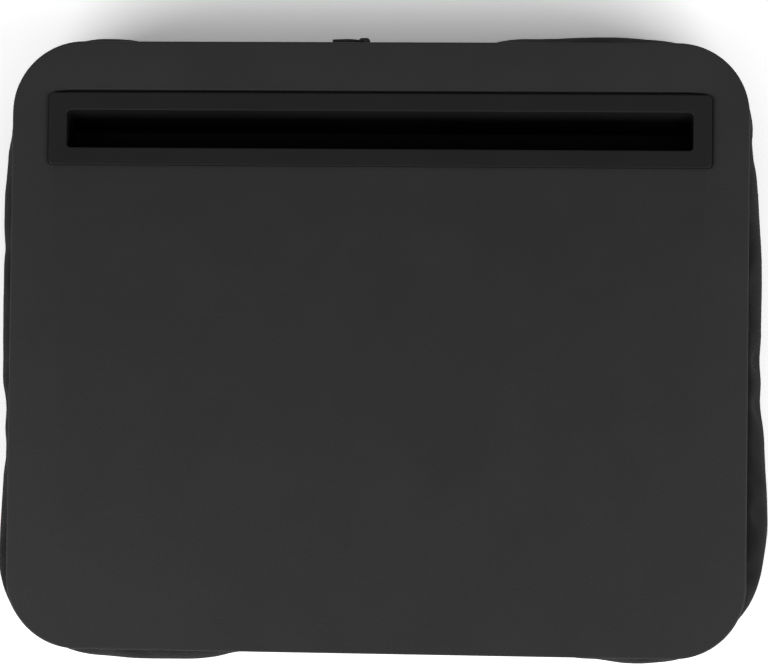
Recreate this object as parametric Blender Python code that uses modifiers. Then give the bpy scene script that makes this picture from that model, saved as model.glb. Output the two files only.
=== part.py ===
"""Tablet cushion stand: a moulded tray with a tablet trough, on a bead-filled cushion with a zip.

The stand lies on the ground with its middle at the origin. +X is to the right of the person who uses
it, +Y is the trough's side, away from that person, and +Z is up. All lengths are in metres.
"""

import math

import bmesh
import bpy

# Clearances
TOUCH = 0.0003
SLIDE_FIT = 0.0003
DROP_IN_FIT = 0.0004
LAYER_GAP = 0.0005
WELL_FIT = 0.0010

# Tray
TRAY_WIDTH = 0.370
TRAY_DEPTH = 0.306
TRAY_CORNER = 0.036
PANEL_THICKNESS = 0.0028
RIM_DROP = 0.009
RIM_WALL = 0.0024
TRAY_EDGE_ROUND = 0.0012
RIB_SETBACK = 0.047
RIB_SLOT_GAP = 0.019
LONG_RIBS = 4
CROSS_RIBS = 6
RIB_THICKNESS = 0.0016
LONG_RIB_HEIGHT = 0.0022
CROSS_RIB_HEIGHT = 0.0019

# Cushion, which bulges out past the tray all round
SIDE_BULGE = 0.009
END_BULGE = 0.007
CUSHION_HEIGHT = 0.058
CORNER_BULGE = 0.016
WIDEST_HEIGHT = 0.032
TOP_DRAW_IN = 0.024
BASE_DRAW_IN = 0.020
FRONT_PULL_IN = 0.005
FRONT_PULL_LEFT_X = -0.060
FRONT_PULL_RIGHT_X = 0.020
REAR_PULL_IN = 0.006
REAR_PULL_RIGHT_X = 0.060
REAR_PULL_ZIP_MARGIN = 0.019
SIDE_PULL_IN = 0.001
SIDE_PULL_HALF = 0.038
COVER_THICKNESS = 0.0010
LINER_THICKNESS = 0.0006
TOP_SEAM_TURN = math.radians(52)
BASE_SEAM_TURN = math.radians(-80)
LINER_SEAM_TURN = math.radians(45)
CORNER_STEPS = 6

# Hook-and-loop strips, set back from the tray's edges to their middle lines
STRIP_THICKNESS = 0.0014
STRIP_CORNER = 0.0020
REAR_STRIP_LENGTH = 0.240
REAR_STRIP_WIDTH = 0.010
REAR_STRIP_SETBACK = 0.0235
FRONT_STRIP_LENGTH = 0.240
FRONT_STRIP_WIDTH = 0.020
FRONT_STRIP_SETBACK = 0.029
SIDE_STRIP_LENGTH = 0.160
SIDE_STRIP_WIDTH = 0.020
SIDE_STRIP_SETBACK = 0.028
SIDE_STRIP_FORWARD = 0.010

# Slot insert
SLOT_LENGTH = 0.314
SLOT_DEPTH = 0.0190
SLOT_SETBACK = 0.0349
SLOT_CORNER = 0.0020
BEZEL_END_MARGIN = 0.00925
BEZEL_SIDE_MARGIN = 0.00875
BEZEL_CORNER = 0.0025
BEZEL_RISE = 0.0020
BEZEL_EDGE_ROUND = 0.0006
SLOT_MOUTH_ROUND = 0.0008
FLOOR_ROUND = 0.0015
RECESS_DEPTH = 0.0012
TROUGH_DEPTH = 0.026
TROUGH_LEAN = math.radians(20)
TROUGH_WALL = 0.0020
CATCH_LENGTH = 0.012
CATCH_REACH = 0.0012
CATCH_HEIGHT = 0.0024
CATCH_SPACING = 0.120

# Zip on the cushion's rear side, shut at its end near the middle
ZIP_SHUT_END_X = -0.0050
ZIP_LENGTH = 0.100
TAPE_THICKNESS = 0.0004
TAPE_REACH = 0.0090
TAPE_END = 0.0040
TEETH_GAP = 0.0012
TEETH_WIDTH = 0.0018
TEETH_THICKNESS = 0.0010
STOP_LENGTH = 0.0015
STOP_THICKNESS = 0.0020
SLIT_EDGE = 0.0010
SLIDER_LENGTH = 0.0090
SLIDER_PLATE = 0.0007
SLIDER_FLANGE = 0.0006
SLIDER_POST_LENGTH = 0.0014
ARCH_LENGTH = 0.0064
ARCH_WIDTH = 0.0012
ARCH_WALL = 0.0006
PULL_BAR = 0.0010
PULL_LENGTH = 0.0170
PULL_WIDTH = 0.0048
PULL_WINDOW_WIDTH = 0.0024
PULL_CORNER = 0.0012

# The cushion's widest outline, and the left end of the flat stretch of its rear side, past the zip
CUSHION_WIDTH = TRAY_WIDTH + 2 * SIDE_BULGE
CUSHION_DEPTH = TRAY_DEPTH + 2 * END_BULGE
CUSHION_CORNER = TRAY_CORNER + CORNER_BULGE
REAR_PULL_LEFT_X = ZIP_SHUT_END_X - ZIP_LENGTH - REAR_PULL_ZIP_MARGIN

# Heights, from the ground up
LOOP_BOTTOM = CUSHION_HEIGHT + TOUCH
HOOK_BOTTOM = LOOP_BOTTOM + STRIP_THICKNESS + TOUCH
TRAY_UNDERSIDE = HOOK_BOTTOM + STRIP_THICKNESS + TOUCH
TRAY_TOP = TRAY_UNDERSIDE + PANEL_THICKNESS
RIM_BOTTOM = TRAY_TOP - RIM_DROP
RECESS_FLOOR = TRAY_TOP - RECESS_DEPTH
BEZEL_BOTTOM = RECESS_FLOOR + TOUCH
BEZEL_TOP = TRAY_TOP + BEZEL_RISE
TROUGH_FLOOR = BEZEL_TOP - TROUGH_DEPTH
TROUGH_BOTTOM = TROUGH_FLOOR - TROUGH_WALL

# The slot, the bezel round it and the ribs' field, across the stand
SLOT_REAR_Y = TRAY_DEPTH / 2 - SLOT_SETBACK
SLOT_FRONT_Y = SLOT_REAR_Y - SLOT_DEPTH
SLOT_CENTRE_Y = (SLOT_FRONT_Y + SLOT_REAR_Y) / 2
TROUGH_HALF_LENGTH = SLOT_LENGTH / 2 + TROUGH_WALL
BEZEL_WIDTH = SLOT_LENGTH + 2 * BEZEL_END_MARGIN
BEZEL_DEPTH = SLOT_DEPTH + 2 * BEZEL_SIDE_MARGIN
RIB_LEFT_X = -TRAY_WIDTH / 2 + RIB_SETBACK
RIB_FRONT_Y = -TRAY_DEPTH / 2 + RIB_SETBACK
RIB_REAR_Y = SLOT_FRONT_Y - RIB_SLOT_GAP

# The zip's layers, outwards from the cushion's rear side at its widest height
REAR_SIDE_Y = CUSHION_DEPTH / 2 - REAR_PULL_IN
TAPE_OUTER_Y = REAR_SIDE_Y + TOUCH + TAPE_THICKNESS
TEETH_INNER_Y = TAPE_OUTER_Y + TOUCH
TEETH_OUTER_Y = TEETH_INNER_Y + TEETH_THICKNESS
PLATE_INNER_Y = TEETH_OUTER_Y + SLIDE_FIT
PLATE_OUTER_Y = PLATE_INNER_Y + SLIDER_PLATE
PULL_CLEAR = PULL_BAR * 0.71 + SLIDE_FIT
PULL_AXIS_Y = PLATE_OUTER_Y + PULL_CLEAR
ARCH_INNER_Y = PULL_AXIS_Y + PULL_CLEAR
ARCH_OUTER_Y = ARCH_INNER_Y + ARCH_WALL
BACK_PLATE_OUTER_Y = REAR_SIDE_Y - SLIDE_FIT / 2
BACK_PLATE_INNER_Y = BACK_PLATE_OUTER_Y - SLIDER_PLATE
TEETH_HALF = TEETH_GAP / 2 + TEETH_WIDTH
SLIDER_HALF_WIDTH = TEETH_HALF + SLIDE_FIT + SLIDER_FLANGE
SLIDER_CENTRE_X = ZIP_SHUT_END_X - SLIDER_LENGTH / 2
ZIP_OPEN_END_X = ZIP_SHUT_END_X - ZIP_LENGTH

# Colours as linear RGB, then roughness
CHARCOAL_PLASTIC = ((0.040, 0.040, 0.040), 0.62)
DARK_PLASTIC = ((0.022, 0.022, 0.022), 0.48)
BLACK_FABRIC = ((0.018, 0.018, 0.018), 0.95)
LINER_FABRIC = ((0.55, 0.55, 0.55), 0.90)
BEAD_WHITE = ((0.80, 0.80, 0.78), 0.80)
BLACK_TAPE = ((0.016, 0.016, 0.016), 0.90)
ZIP_NYLON = ((0.014, 0.014, 0.014), 0.45)
ZIP_METAL = ((0.020, 0.020, 0.020), 0.35)


def clear_scene():
    """Remove whatever objects the scene starts with."""
    for item in list(bpy.data.objects):
        bpy.data.objects.remove(item, do_unlink=True)


def new_collection(name):
    """Make a collection in the scene."""
    collection = bpy.data.collections.new(name)
    bpy.context.scene.collection.children.link(collection)
    return collection


def principled(name, look, metallic=0.0):
    """Make a material with one Principled BSDF from a (colour, roughness) pair."""
    color, roughness = look
    material = bpy.data.materials.new(name)
    material.use_nodes = True
    shader = material.node_tree.nodes["Principled BSDF"]
    shader.inputs["Base Color"].default_value = (*color, 1.0)
    shader.inputs["Roughness"].default_value = roughness
    shader.inputs["Metallic"].default_value = metallic
    return material


def as_part(obj, material):
    """Dress a finished sub-part in its material, with soft shading up to 35 degrees."""
    obj.data.materials.clear()
    obj.data.materials.append(material)
    obj.data.shade_smooth()
    obj.data.set_sharp_from_angle(angle=math.radians(35))
    return obj


def as_cutter(obj, cutters):
    """Move a helper solid into the cutters' collection and show it as wire."""
    for collection in list(obj.users_collection):
        collection.objects.unlink(obj)
    cutters.objects.link(obj)
    obj.hide_render = True
    obj.display_type = "WIRE"
    return obj


def boolean(target, tool, operation):
    """Cut a tool from the target, or join it on."""
    modifier = target.modifiers.new(f"{operation.title()} {tool.name}", "BOOLEAN")
    modifier.operation = operation
    modifier.solver = "EXACT"
    modifier.object = tool


def round_edges(obj, width, segments, angle=math.radians(40)):
    """Round the edges that are sharper than the angle."""
    modifier = obj.modifiers.new("Edge round", "BEVEL")
    modifier.width = width
    modifier.segments = segments
    modifier.limit_method = "ANGLE"
    modifier.angle_limit = angle


def rounded_rectangle(width, depth, radius, steps, centre=(0.0, 0.0)):
    """Outline of a rectangle with arc corners, counterclockwise from its +X side."""
    points = []
    for corner in range(4):
        side_x = 1 if corner in (0, 3) else -1
        side_y = 1 if corner in (0, 1) else -1
        arc_x = centre[0] + side_x * (width / 2 - radius)
        arc_y = centre[1] + side_y * (depth / 2 - radius)
        for step in range(steps + 1):
            turn = math.radians(90) * (corner + step / steps)
            points.append((arc_x + radius * math.cos(turn), arc_y + radius * math.sin(turn)))
    return points


def plate(name, collection, outlines, low, high):
    """Flat plate between two heights: the first outline is its edge and the others are its holes."""
    curve = bpy.data.curves.new(name, "CURVE")
    curve.dimensions = "2D"
    curve.fill_mode = "BOTH"
    curve.extrude = (high - low) / 2
    for outline in outlines:
        spline = curve.splines.new("POLY")
        spline.points.add(len(outline) - 1)
        for point, (x, y) in zip(spline.points, outline):
            point.co = (x, y, 0.0, 1.0)
        spline.use_cyclic_u = True
    guide = bpy.data.objects.new(name, curve)
    collection.objects.link(guide)
    bpy.context.view_layer.update()
    mesh = bpy.data.meshes.new_from_object(guide.evaluated_get(bpy.context.evaluated_depsgraph_get()))
    bpy.data.objects.remove(guide, do_unlink=True)
    weld = bmesh.new()
    weld.from_mesh(mesh)
    bmesh.ops.remove_doubles(weld, verts=weld.verts, dist=0.00001)
    bmesh.ops.recalc_face_normals(weld, faces=weld.faces)
    weld.to_mesh(mesh)
    weld.free()
    obj = bpy.data.objects.new(name, mesh)
    collection.objects.link(obj)
    obj.location.z = (low + high) / 2
    bpy.context.view_layer.update()
    return obj


def bar(name, collection, section, left, right):
    """Straight bar along X between two places, from its outline in the YZ plane."""
    obj = plate(name, collection, [section], left, right)
    obj.location = ((left + right) / 2, 0.0, 0.0)
    obj.rotation_euler = (math.radians(90), 0.0, math.radians(90))
    bpy.context.view_layer.update()
    return obj


def block(name, collection, low, high):
    """Box between two opposite corners."""
    mesh = bpy.data.meshes.new(name)
    cube = bmesh.new()
    bmesh.ops.create_cube(cube, size=1.0)
    size = [top - bottom for bottom, top in zip(low, high)]
    bmesh.ops.scale(cube, vec=size, verts=cube.verts)
    cube.to_mesh(mesh)
    cube.free()
    obj = bpy.data.objects.new(name, mesh)
    obj.location = [(bottom + top) / 2 for bottom, top in zip(low, high)]
    collection.objects.link(obj)
    bpy.context.view_layer.update()
    return obj


def pivot(name, collection, point, children):
    """Empty at a joint, with the pieces that move on it as its children."""
    empty = bpy.data.objects.new(name, None)
    empty.empty_display_size = 0.02
    empty.location = point
    collection.objects.link(empty)
    bpy.context.view_layer.update()
    for child in children:
        child.parent = empty
        child.matrix_parent_inverse = empty.matrix_world.inverted()
    return empty


def side_stations(first, flat_first, flat_last, last, slope_steps):
    """Places along one straight side, with the share from 0 to 1 that the side is pulled in at each."""
    shares = [step / slope_steps for step in range(1, slope_steps + 1)]
    eased = [(share, (1 - math.cos(math.pi * share)) / 2) for share in shares]
    slope_in = [(first + (flat_first - first) * share, pull) for share, pull in eased]
    slope_out = [(last + (flat_last - last) * share, pull) for share, pull in reversed(eased)]
    middle = [((flat_first + flat_last) / 2, 1.0)]
    return slope_in + middle + slope_out


def cushion_path():
    """Stations round the cushion's widest line: place, outward direction, and how far it is pulled in.

    The line is a rounded rectangle, counterclockwise from its right rear corner. Its corners keep their
    full size and each side is pulled in between them, as the seams do on a filled bag.
    """
    half_x = CUSHION_WIDTH / 2
    half_y = CUSHION_DEPTH / 2
    run_x = half_x - CUSHION_CORNER
    run_y = half_y - CUSHION_CORNER
    rear = side_stations(run_x, REAR_PULL_RIGHT_X, REAR_PULL_LEFT_X, -run_x, 3)
    left = side_stations(run_y, SIDE_PULL_HALF, -SIDE_PULL_HALF, -run_y, 1)
    front = side_stations(-run_x, FRONT_PULL_LEFT_X, FRONT_PULL_RIGHT_X, run_x, 3)
    sides = [
        [((x, half_y), (0.0, 1.0), share * REAR_PULL_IN) for x, share in rear],
        [((-half_x, y), (-1.0, 0.0), share * SIDE_PULL_IN) for y, share in left],
        [((x, -half_y), (0.0, -1.0), share * FRONT_PULL_IN) for x, share in front],
        [((half_x, -y), (1.0, 0.0), share * SIDE_PULL_IN) for y, share in left],
    ]
    path = []
    for corner, side in enumerate(sides):
        arc_x = run_x if corner in (0, 3) else -run_x
        arc_y = run_y if corner in (0, 1) else -run_y
        for step in range(CORNER_STEPS + 1):
            turn = math.radians(90) * (corner + step / CORNER_STEPS)
            out = (math.cos(turn), math.sin(turn))
            path.append(((arc_x + CUSHION_CORNER * out[0], arc_y + CUSHION_CORNER * out[1]), out, 0.0))
        path += side
    return path


def side_point(turn, inset):
    """Place on the cushion's side at a turn from -90 degrees at the base to 90 degrees on top.

    The side is half an ellipse above the widest height and another below it. Returns the outset from
    the widest line, the height, and the fullness, which is 1 at the widest height and 0 on top and
    under the base. A positive inset is measured inwards, square to the surface.
    """
    draw_in = TOP_DRAW_IN if turn > 0 else BASE_DRAW_IN
    rise = CUSHION_HEIGHT - WIDEST_HEIGHT if turn > 0 else WIDEST_HEIGHT
    fullness = math.cos(turn)
    square_out = rise * math.cos(turn)
    square_up = draw_in * math.sin(turn)
    length = math.hypot(square_out, square_up)
    outset = -draw_in * (1 - fullness) - inset * square_out / length
    height = WIDEST_HEIGHT + rise * math.sin(turn) - inset * square_up / length
    return outset, height, fullness


def side_profile(first_turn, last_turn, steps, inset):
    """Points of the cushion's side from one turn to another."""
    turns = [first_turn + (last_turn - first_turn) * step / steps for step in range(steps + 1)]
    return [side_point(turn, inset) for turn in turns]


def seam_turn_gap(turn):
    """Half the gap at a seam, as a turn of the cushion's side."""
    draw_in = TOP_DRAW_IN if turn > 0 else BASE_DRAW_IN
    rise = CUSHION_HEIGHT - WIDEST_HEIGHT if turn > 0 else WIDEST_HEIGHT
    return TOUCH / 2 / math.hypot(draw_in * math.sin(turn), rise * math.cos(turn))


def ringed_body(name, collection, rings, closed):
    """Body through rings with as many points each: a closed band, or one with a flat face at each end."""
    body = bmesh.new()
    loops = [[body.verts.new(point) for point in ring] for ring in rings]
    following = loops[1:] + loops[:1] if closed else loops[1:]
    for lower, upper in zip(loops, following):
        for index in range(len(lower)):
            after = (index + 1) % len(lower)
            body.faces.new((lower[index], lower[after], upper[after], upper[index]))
    if not closed:
        body.faces.new(reversed(loops[0]))
        body.faces.new(loops[-1])
    bmesh.ops.recalc_face_normals(body, faces=body.faces)
    mesh = bpy.data.meshes.new(name)
    body.to_mesh(mesh)
    body.free()
    obj = bpy.data.objects.new(name, mesh)
    collection.objects.link(obj)
    return obj


def swept_body(name, collection, profile, closed):
    """Body whose side profile runs round the cushion."""
    path = cushion_path()
    rings = []
    for outset, height, fullness in profile:
        ring = []
        for (x, y), (out_x, out_y), pull_in in path:
            reach = outset - pull_in * fullness
            ring.append((x + out_x * reach, y + out_y * reach, height))
        rings.append(ring)
    return ringed_body(name, collection, rings, closed)


def dish(name, collection, seam_turn, flat_turn, steps, inset, thickness):
    """Shell from a seam to the cushion's flat top or base, with an even thickness."""
    outer = side_profile(flat_turn, seam_turn, steps, inset)
    inner = side_profile(seam_turn, flat_turn, steps, inset + thickness)
    return swept_body(name, collection, outer + inner, closed=False)


def trough_section(spread, low, high):
    """Trough outline in the YZ plane: upright in front, leaning back at the rear, grown by spread."""
    front = SLOT_FRONT_Y - spread
    rear_at_mouth = SLOT_REAR_Y + spread / math.cos(TROUGH_LEAN)
    rear_low = rear_at_mouth - (BEZEL_TOP - low) * math.tan(TROUGH_LEAN)
    rear_high = rear_at_mouth - (BEZEL_TOP - high) * math.tan(TROUGH_LEAN)
    return [(front, low), (rear_low, low), (rear_high, high), (front, high)]


def well_block(name, cutters, spread, high):
    """Room for the trough in a cushion layer, grown by spread on its walls and floor."""
    section = trough_section(TROUGH_WALL + spread, TROUGH_BOTTOM - spread, high)
    half = TROUGH_HALF_LENGTH + spread
    return as_cutter(bar(name, cutters, section, -half, half), cutters)


def upper_shell(name, collection, cutters, seam_turn, steps, inset, thickness, spread):
    """Upper half of a cushion layer, with a pocket that the trough sinks into."""
    shell = dish(name, collection, seam_turn, math.radians(90), steps, inset, thickness)
    pocket_top = CUSHION_HEIGHT - inset - thickness / 2
    pocket = well_block(f"{name}_pocket", cutters, spread + thickness, pocket_top)
    room = well_block(f"{name}_room", cutters, spread, CUSHION_HEIGHT + WELL_FIT)
    boolean(shell, pocket, "UNION")
    boolean(shell, room, "DIFFERENCE")
    return shell


def make_cushion(parts, cutters, looks):
    """Cover of three panels, inner bag of two, and the beads as one solid."""
    top_gap = seam_turn_gap(TOP_SEAM_TURN)
    base_gap = seam_turn_gap(BASE_SEAM_TURN)
    liner_gap = seam_turn_gap(LINER_SEAM_TURN)
    flat_top = math.radians(90)
    flat_base = math.radians(-90)
    liner_inset = COVER_THICKNESS + LAYER_GAP
    bead_inset = liner_inset + LINER_THICKNESS + LAYER_GAP

    top_panel = upper_shell(
        "cover_top_panel", parts, cutters, TOP_SEAM_TURN + top_gap, 4, 0.0, COVER_THICKNESS, WELL_FIT
    )
    as_part(top_panel, looks["cover"])

    outer = side_profile(BASE_SEAM_TURN + base_gap, TOP_SEAM_TURN - top_gap, 9, 0.0)
    inner = side_profile(TOP_SEAM_TURN - top_gap, BASE_SEAM_TURN + base_gap, 9, COVER_THICKNESS)
    boxing = swept_body("cover_boxing", parts, outer + inner, closed=True)
    slit_half = SLIDER_HALF_WIDTH + SLIT_EDGE
    slit = block(
        "zip_slit",
        cutters,
        (ZIP_OPEN_END_X - SLIT_EDGE, REAR_SIDE_Y - COVER_THICKNESS * 3, WIDEST_HEIGHT - slit_half),
        (ZIP_SHUT_END_X + SLIT_EDGE, REAR_SIDE_Y + COVER_THICKNESS * 3, WIDEST_HEIGHT + slit_half),
    )
    boolean(boxing, as_cutter(slit, cutters), "DIFFERENCE")
    as_part(boxing, looks["cover"])

    base_panel = dish("cover_base_panel", parts, BASE_SEAM_TURN - base_gap, flat_base, 3, 0.0, COVER_THICKNESS)
    as_part(base_panel, looks["cover"])

    liner_upper = upper_shell(
        "liner_upper",
        parts,
        cutters,
        LINER_SEAM_TURN + liner_gap,
        4,
        liner_inset,
        LINER_THICKNESS,
        WELL_FIT + liner_inset,
    )
    as_part(liner_upper, looks["liner"])
    liner_lower = dish(
        "liner_lower", parts, LINER_SEAM_TURN - liner_gap, flat_base, 10, liner_inset, LINER_THICKNESS
    )
    as_part(liner_lower, looks["liner"])

    beads = swept_body("bead_fill", parts, side_profile(flat_base, flat_top, 13, bead_inset), closed=False)
    bead_room = well_block("bead_room", cutters, WELL_FIT + bead_inset, CUSHION_HEIGHT + WELL_FIT)
    boolean(beads, bead_room, "DIFFERENCE")
    as_part(beads, looks["beads"])


def strip_layout():
    """Name, size and middle of each hook-and-loop strip, seen from above."""
    rear_y = TRAY_DEPTH / 2 - REAR_STRIP_SETBACK
    front_y = -TRAY_DEPTH / 2 + FRONT_STRIP_SETBACK
    side_x = TRAY_WIDTH / 2 - SIDE_STRIP_SETBACK
    return [
        ("rear", REAR_STRIP_LENGTH, REAR_STRIP_WIDTH, (0.0, rear_y)),
        ("front", FRONT_STRIP_LENGTH, FRONT_STRIP_WIDTH, (0.0, front_y)),
        ("left", SIDE_STRIP_WIDTH, SIDE_STRIP_LENGTH, (-side_x, -SIDE_STRIP_FORWARD)),
        ("right", SIDE_STRIP_WIDTH, SIDE_STRIP_LENGTH, (side_x, -SIDE_STRIP_FORWARD)),
    ]


def make_strips(parts, looks):
    """Loop strips on the cushion and hook strips under the tray. Returns the hook strips."""
    hooks = []
    for place, width, depth, middle in strip_layout():
        outline = rounded_rectangle(width, depth, STRIP_CORNER, 2, middle)
        loop = plate(f"loop_strip_{place}", parts, [outline], LOOP_BOTTOM, LOOP_BOTTOM + STRIP_THICKNESS)
        hook = plate(f"hook_strip_{place}", parts, [outline], HOOK_BOTTOM, HOOK_BOTTOM + STRIP_THICKNESS)
        as_part(loop, looks["tape"])
        hooks.append(as_part(hook, looks["tape"]))
    return hooks


def add_ribs(tray, cutters):
    """Join a grid of low stiffening ribs to the tray's underside."""
    top = TRAY_UNDERSIDE + PANEL_THICKNESS / 2
    half = RIB_THICKNESS / 2
    for number in range(LONG_RIBS):
        y = RIB_FRONT_Y + (RIB_REAR_Y - RIB_FRONT_Y) * number / (LONG_RIBS - 1)
        low = (RIB_LEFT_X, y - half, TRAY_UNDERSIDE - LONG_RIB_HEIGHT)
        rib = block(f"long_rib_{number}", cutters, low, (-RIB_LEFT_X, y + half, top))
        boolean(tray, as_cutter(rib, cutters), "UNION")
    for number in range(CROSS_RIBS):
        x = RIB_LEFT_X * (1 - (2 * number + 1) / CROSS_RIBS)
        low = (x - half, RIB_FRONT_Y, TRAY_UNDERSIDE - CROSS_RIB_HEIGHT)
        rib = block(f"cross_rib_{number}", cutters, low, (x + half, RIB_REAR_Y, top))
        boolean(tray, as_cutter(rib, cutters), "UNION")


def cutout_edges():
    """Front, rear and half length of the tray's opening for the trough."""
    section = trough_section(TROUGH_WALL, TROUGH_BOTTOM, RECESS_FLOOR + TOUCH)
    front = section[0][0] - DROP_IN_FIT
    rear = section[2][0] + DROP_IN_FIT
    return front, rear, TROUGH_HALF_LENGTH + DROP_IN_FIT


def make_tray(parts, cutters, looks):
    """Moulded panel with a turned-down rim, a recess and opening for the insert, and ribs below."""
    edge = rounded_rectangle(TRAY_WIDTH, TRAY_DEPTH, TRAY_CORNER, 10)
    tray = plate("tray_panel", parts, [edge], RIM_BOTTOM, TRAY_TOP)
    round_edges(tray, TRAY_EDGE_ROUND, 3)

    inside = rounded_rectangle(
        TRAY_WIDTH - 2 * RIM_WALL, TRAY_DEPTH - 2 * RIM_WALL, TRAY_CORNER - RIM_WALL, 10
    )
    hollow = plate("tray_hollow", cutters, [inside], RIM_BOTTOM - PANEL_THICKNESS, TRAY_UNDERSIDE)
    boolean(tray, as_cutter(hollow, cutters), "DIFFERENCE")

    front, rear, half = cutout_edges()
    opening = block("tray_opening", cutters, (-half, front, RIM_BOTTOM), (half, rear, BEZEL_TOP))
    boolean(tray, as_cutter(opening, cutters), "DIFFERENCE")

    seat = rounded_rectangle(
        BEZEL_WIDTH + 2 * TOUCH, BEZEL_DEPTH + 2 * TOUCH, BEZEL_CORNER + TOUCH, 4, (0.0, SLOT_CENTRE_Y)
    )
    recess = plate("tray_recess", cutters, [seat], RECESS_FLOOR, BEZEL_TOP)
    boolean(tray, as_cutter(recess, cutters), "DIFFERENCE")

    add_ribs(tray, cutters)
    return as_part(tray, looks["tray"])


def trough_ring(height, spread, inset):
    """Outline of the trough at one height, grown by the spread of its walls and drawn in by inset."""
    (front, _), (rear, _), _, _ = trough_section(spread, height, height)
    width = SLOT_LENGTH + 2 * (spread - inset)
    depth = rear - front - 2 * inset
    radius = SLOT_CORNER + spread - inset
    outline = rounded_rectangle(width, depth, radius, 3, (0.0, (front + rear) / 2))
    return [(x, y, height) for x, y in outline]


def bezel_ring(height, inset):
    """Outline of the bezel at one height."""
    middle = (0.0, SLOT_CENTRE_Y)
    width = BEZEL_WIDTH - 2 * inset
    depth = BEZEL_DEPTH - 2 * inset
    return [(x, y, height) for x, y in rounded_rectangle(width, depth, BEZEL_CORNER - inset, 3, middle)]


def quarter_turn(radius, steps):
    """Sideways and upward parts of a quarter round, from its side up to its top."""
    turns = [math.radians(90) * step / steps for step in range(steps + 1)]
    return [(radius * (1 - math.cos(turn)), radius * math.sin(turn)) for turn in turns]


def insert_rings():
    """Rings of the insert, from the trough's underside out round the bezel and down to the trough's floor."""
    underside_round = quarter_turn(FLOOR_ROUND, 2)
    edge_round = quarter_turn(BEZEL_EDGE_ROUND, 2)
    mouth_round = quarter_turn(SLOT_MOUTH_ROUND, 3)
    rings = []
    for inset, rise in reversed(underside_round):
        rings.append(trough_ring(TROUGH_BOTTOM + FLOOR_ROUND - rise, TROUGH_WALL, inset))
    rings.append(trough_ring(BEZEL_BOTTOM, TROUGH_WALL, 0.0))
    rings.append(bezel_ring(BEZEL_BOTTOM, 0.0))
    for inset, rise in edge_round:
        rings.append(bezel_ring(BEZEL_TOP - BEZEL_EDGE_ROUND + rise, inset))
    for outset, rise in reversed(mouth_round):
        rings.append(trough_ring(BEZEL_TOP - SLOT_MOUTH_ROUND + rise, 0.0, -outset))
    for inset, rise in underside_round:
        rings.append(trough_ring(TROUGH_FLOOR + FLOOR_ROUND - rise, 0.0, inset))
    return rings


def make_insert(parts, cutters, looks):
    """Raised frame and trough, with catches that snap under the tray."""
    insert = ringed_body("slot_insert", parts, insert_rings(), closed=False)
    front, rear, _ = cutout_edges()
    catch_top = TRAY_UNDERSIDE - TOUCH
    catch_low = catch_top - CATCH_HEIGHT
    wall_middle = trough_section(TROUGH_WALL / 2, catch_low, catch_top)
    front_catch = [
        (wall_middle[0][0], catch_low),
        (wall_middle[0][0], catch_top),
        (front - CATCH_REACH, catch_top),
    ]
    rear_catch = [
        (wall_middle[1][0], catch_low),
        (rear + CATCH_REACH, catch_top),
        (wall_middle[2][0], catch_top),
    ]
    for side, section in (("front", front_catch), ("rear", rear_catch)):
        for number in (-1, 0, 1):
            middle = number * CATCH_SPACING
            name = f"{side}_catch_{number + 2}"
            catch = bar(name, cutters, section, middle - CATCH_LENGTH / 2, middle + CATCH_LENGTH / 2)
            boolean(insert, as_cutter(catch, cutters), "UNION")
    return as_part(insert, looks["insert"])


def rear_point(turn, inset):
    """Point in the YZ plane on the flat part of the cushion's rear side."""
    outset, height, fullness = side_point(turn, inset)
    return CUSHION_DEPTH / 2 + outset - REAR_PULL_IN * fullness, height


def tape_section(side, steps=4):
    """Zip tape outline that follows the cushion's side, above the teeth for side 1 and below for -1."""
    rise = CUSHION_HEIGHT - WIDEST_HEIGHT if side > 0 else WIDEST_HEIGHT
    near = side * math.asin(TEETH_GAP / 2 / rise)
    far = side * math.asin(TAPE_REACH / rise)
    turns = [near + (far - near) * step / steps for step in range(steps + 1)]
    inner = [rear_point(turn, -TOUCH) for turn in turns]
    outer = [rear_point(turn, -TOUCH - TAPE_THICKNESS) for turn in reversed(turns)]
    return inner + outer


def upright_box(y_low, y_high, z_low, z_high):
    """Rectangle in the YZ plane, with its heights measured from the zip's middle."""
    low = WIDEST_HEIGHT + z_low
    high = WIDEST_HEIGHT + z_high
    return [(y_low, low), (y_high, low), (y_high, high), (y_low, high)]


def make_zip_halves(parts, looks):
    """Tapes, tooth rows and end stops of the zip."""
    stop_left = ZIP_SHUT_END_X + TOUCH
    stop_outer_y = TEETH_INNER_Y + STOP_THICKNESS
    for side, place in ((1, "upper"), (-1, "lower")):
        near = min(side * TEETH_GAP / 2, side * TEETH_HALF)
        far = max(side * TEETH_GAP / 2, side * TEETH_HALF)
        tape = bar(
            f"zip_tape_{place}", parts, tape_section(side), ZIP_OPEN_END_X - TAPE_END, ZIP_SHUT_END_X + TAPE_END
        )
        teeth_section = upright_box(TEETH_INNER_Y, TEETH_OUTER_Y, near, far)
        teeth = bar(f"zip_teeth_{place}", parts, teeth_section, ZIP_OPEN_END_X, ZIP_SHUT_END_X)
        stop_section = upright_box(TEETH_INNER_Y, stop_outer_y, near, far)
        stop = bar(f"zip_top_stop_{place}", parts, stop_section, stop_left, stop_left + STOP_LENGTH)
        as_part(tape, looks["tape"])
        as_part(teeth, looks["teeth"])
        as_part(stop, looks["metal"])
    stop_right = ZIP_OPEN_END_X - TOUCH
    stop_section = upright_box(TEETH_INNER_Y, stop_outer_y, -TEETH_HALF, TEETH_HALF)
    bottom_stop = bar("zip_bottom_stop", parts, stop_section, stop_right - STOP_LENGTH, stop_right)
    as_part(bottom_stop, looks["metal"])


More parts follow.
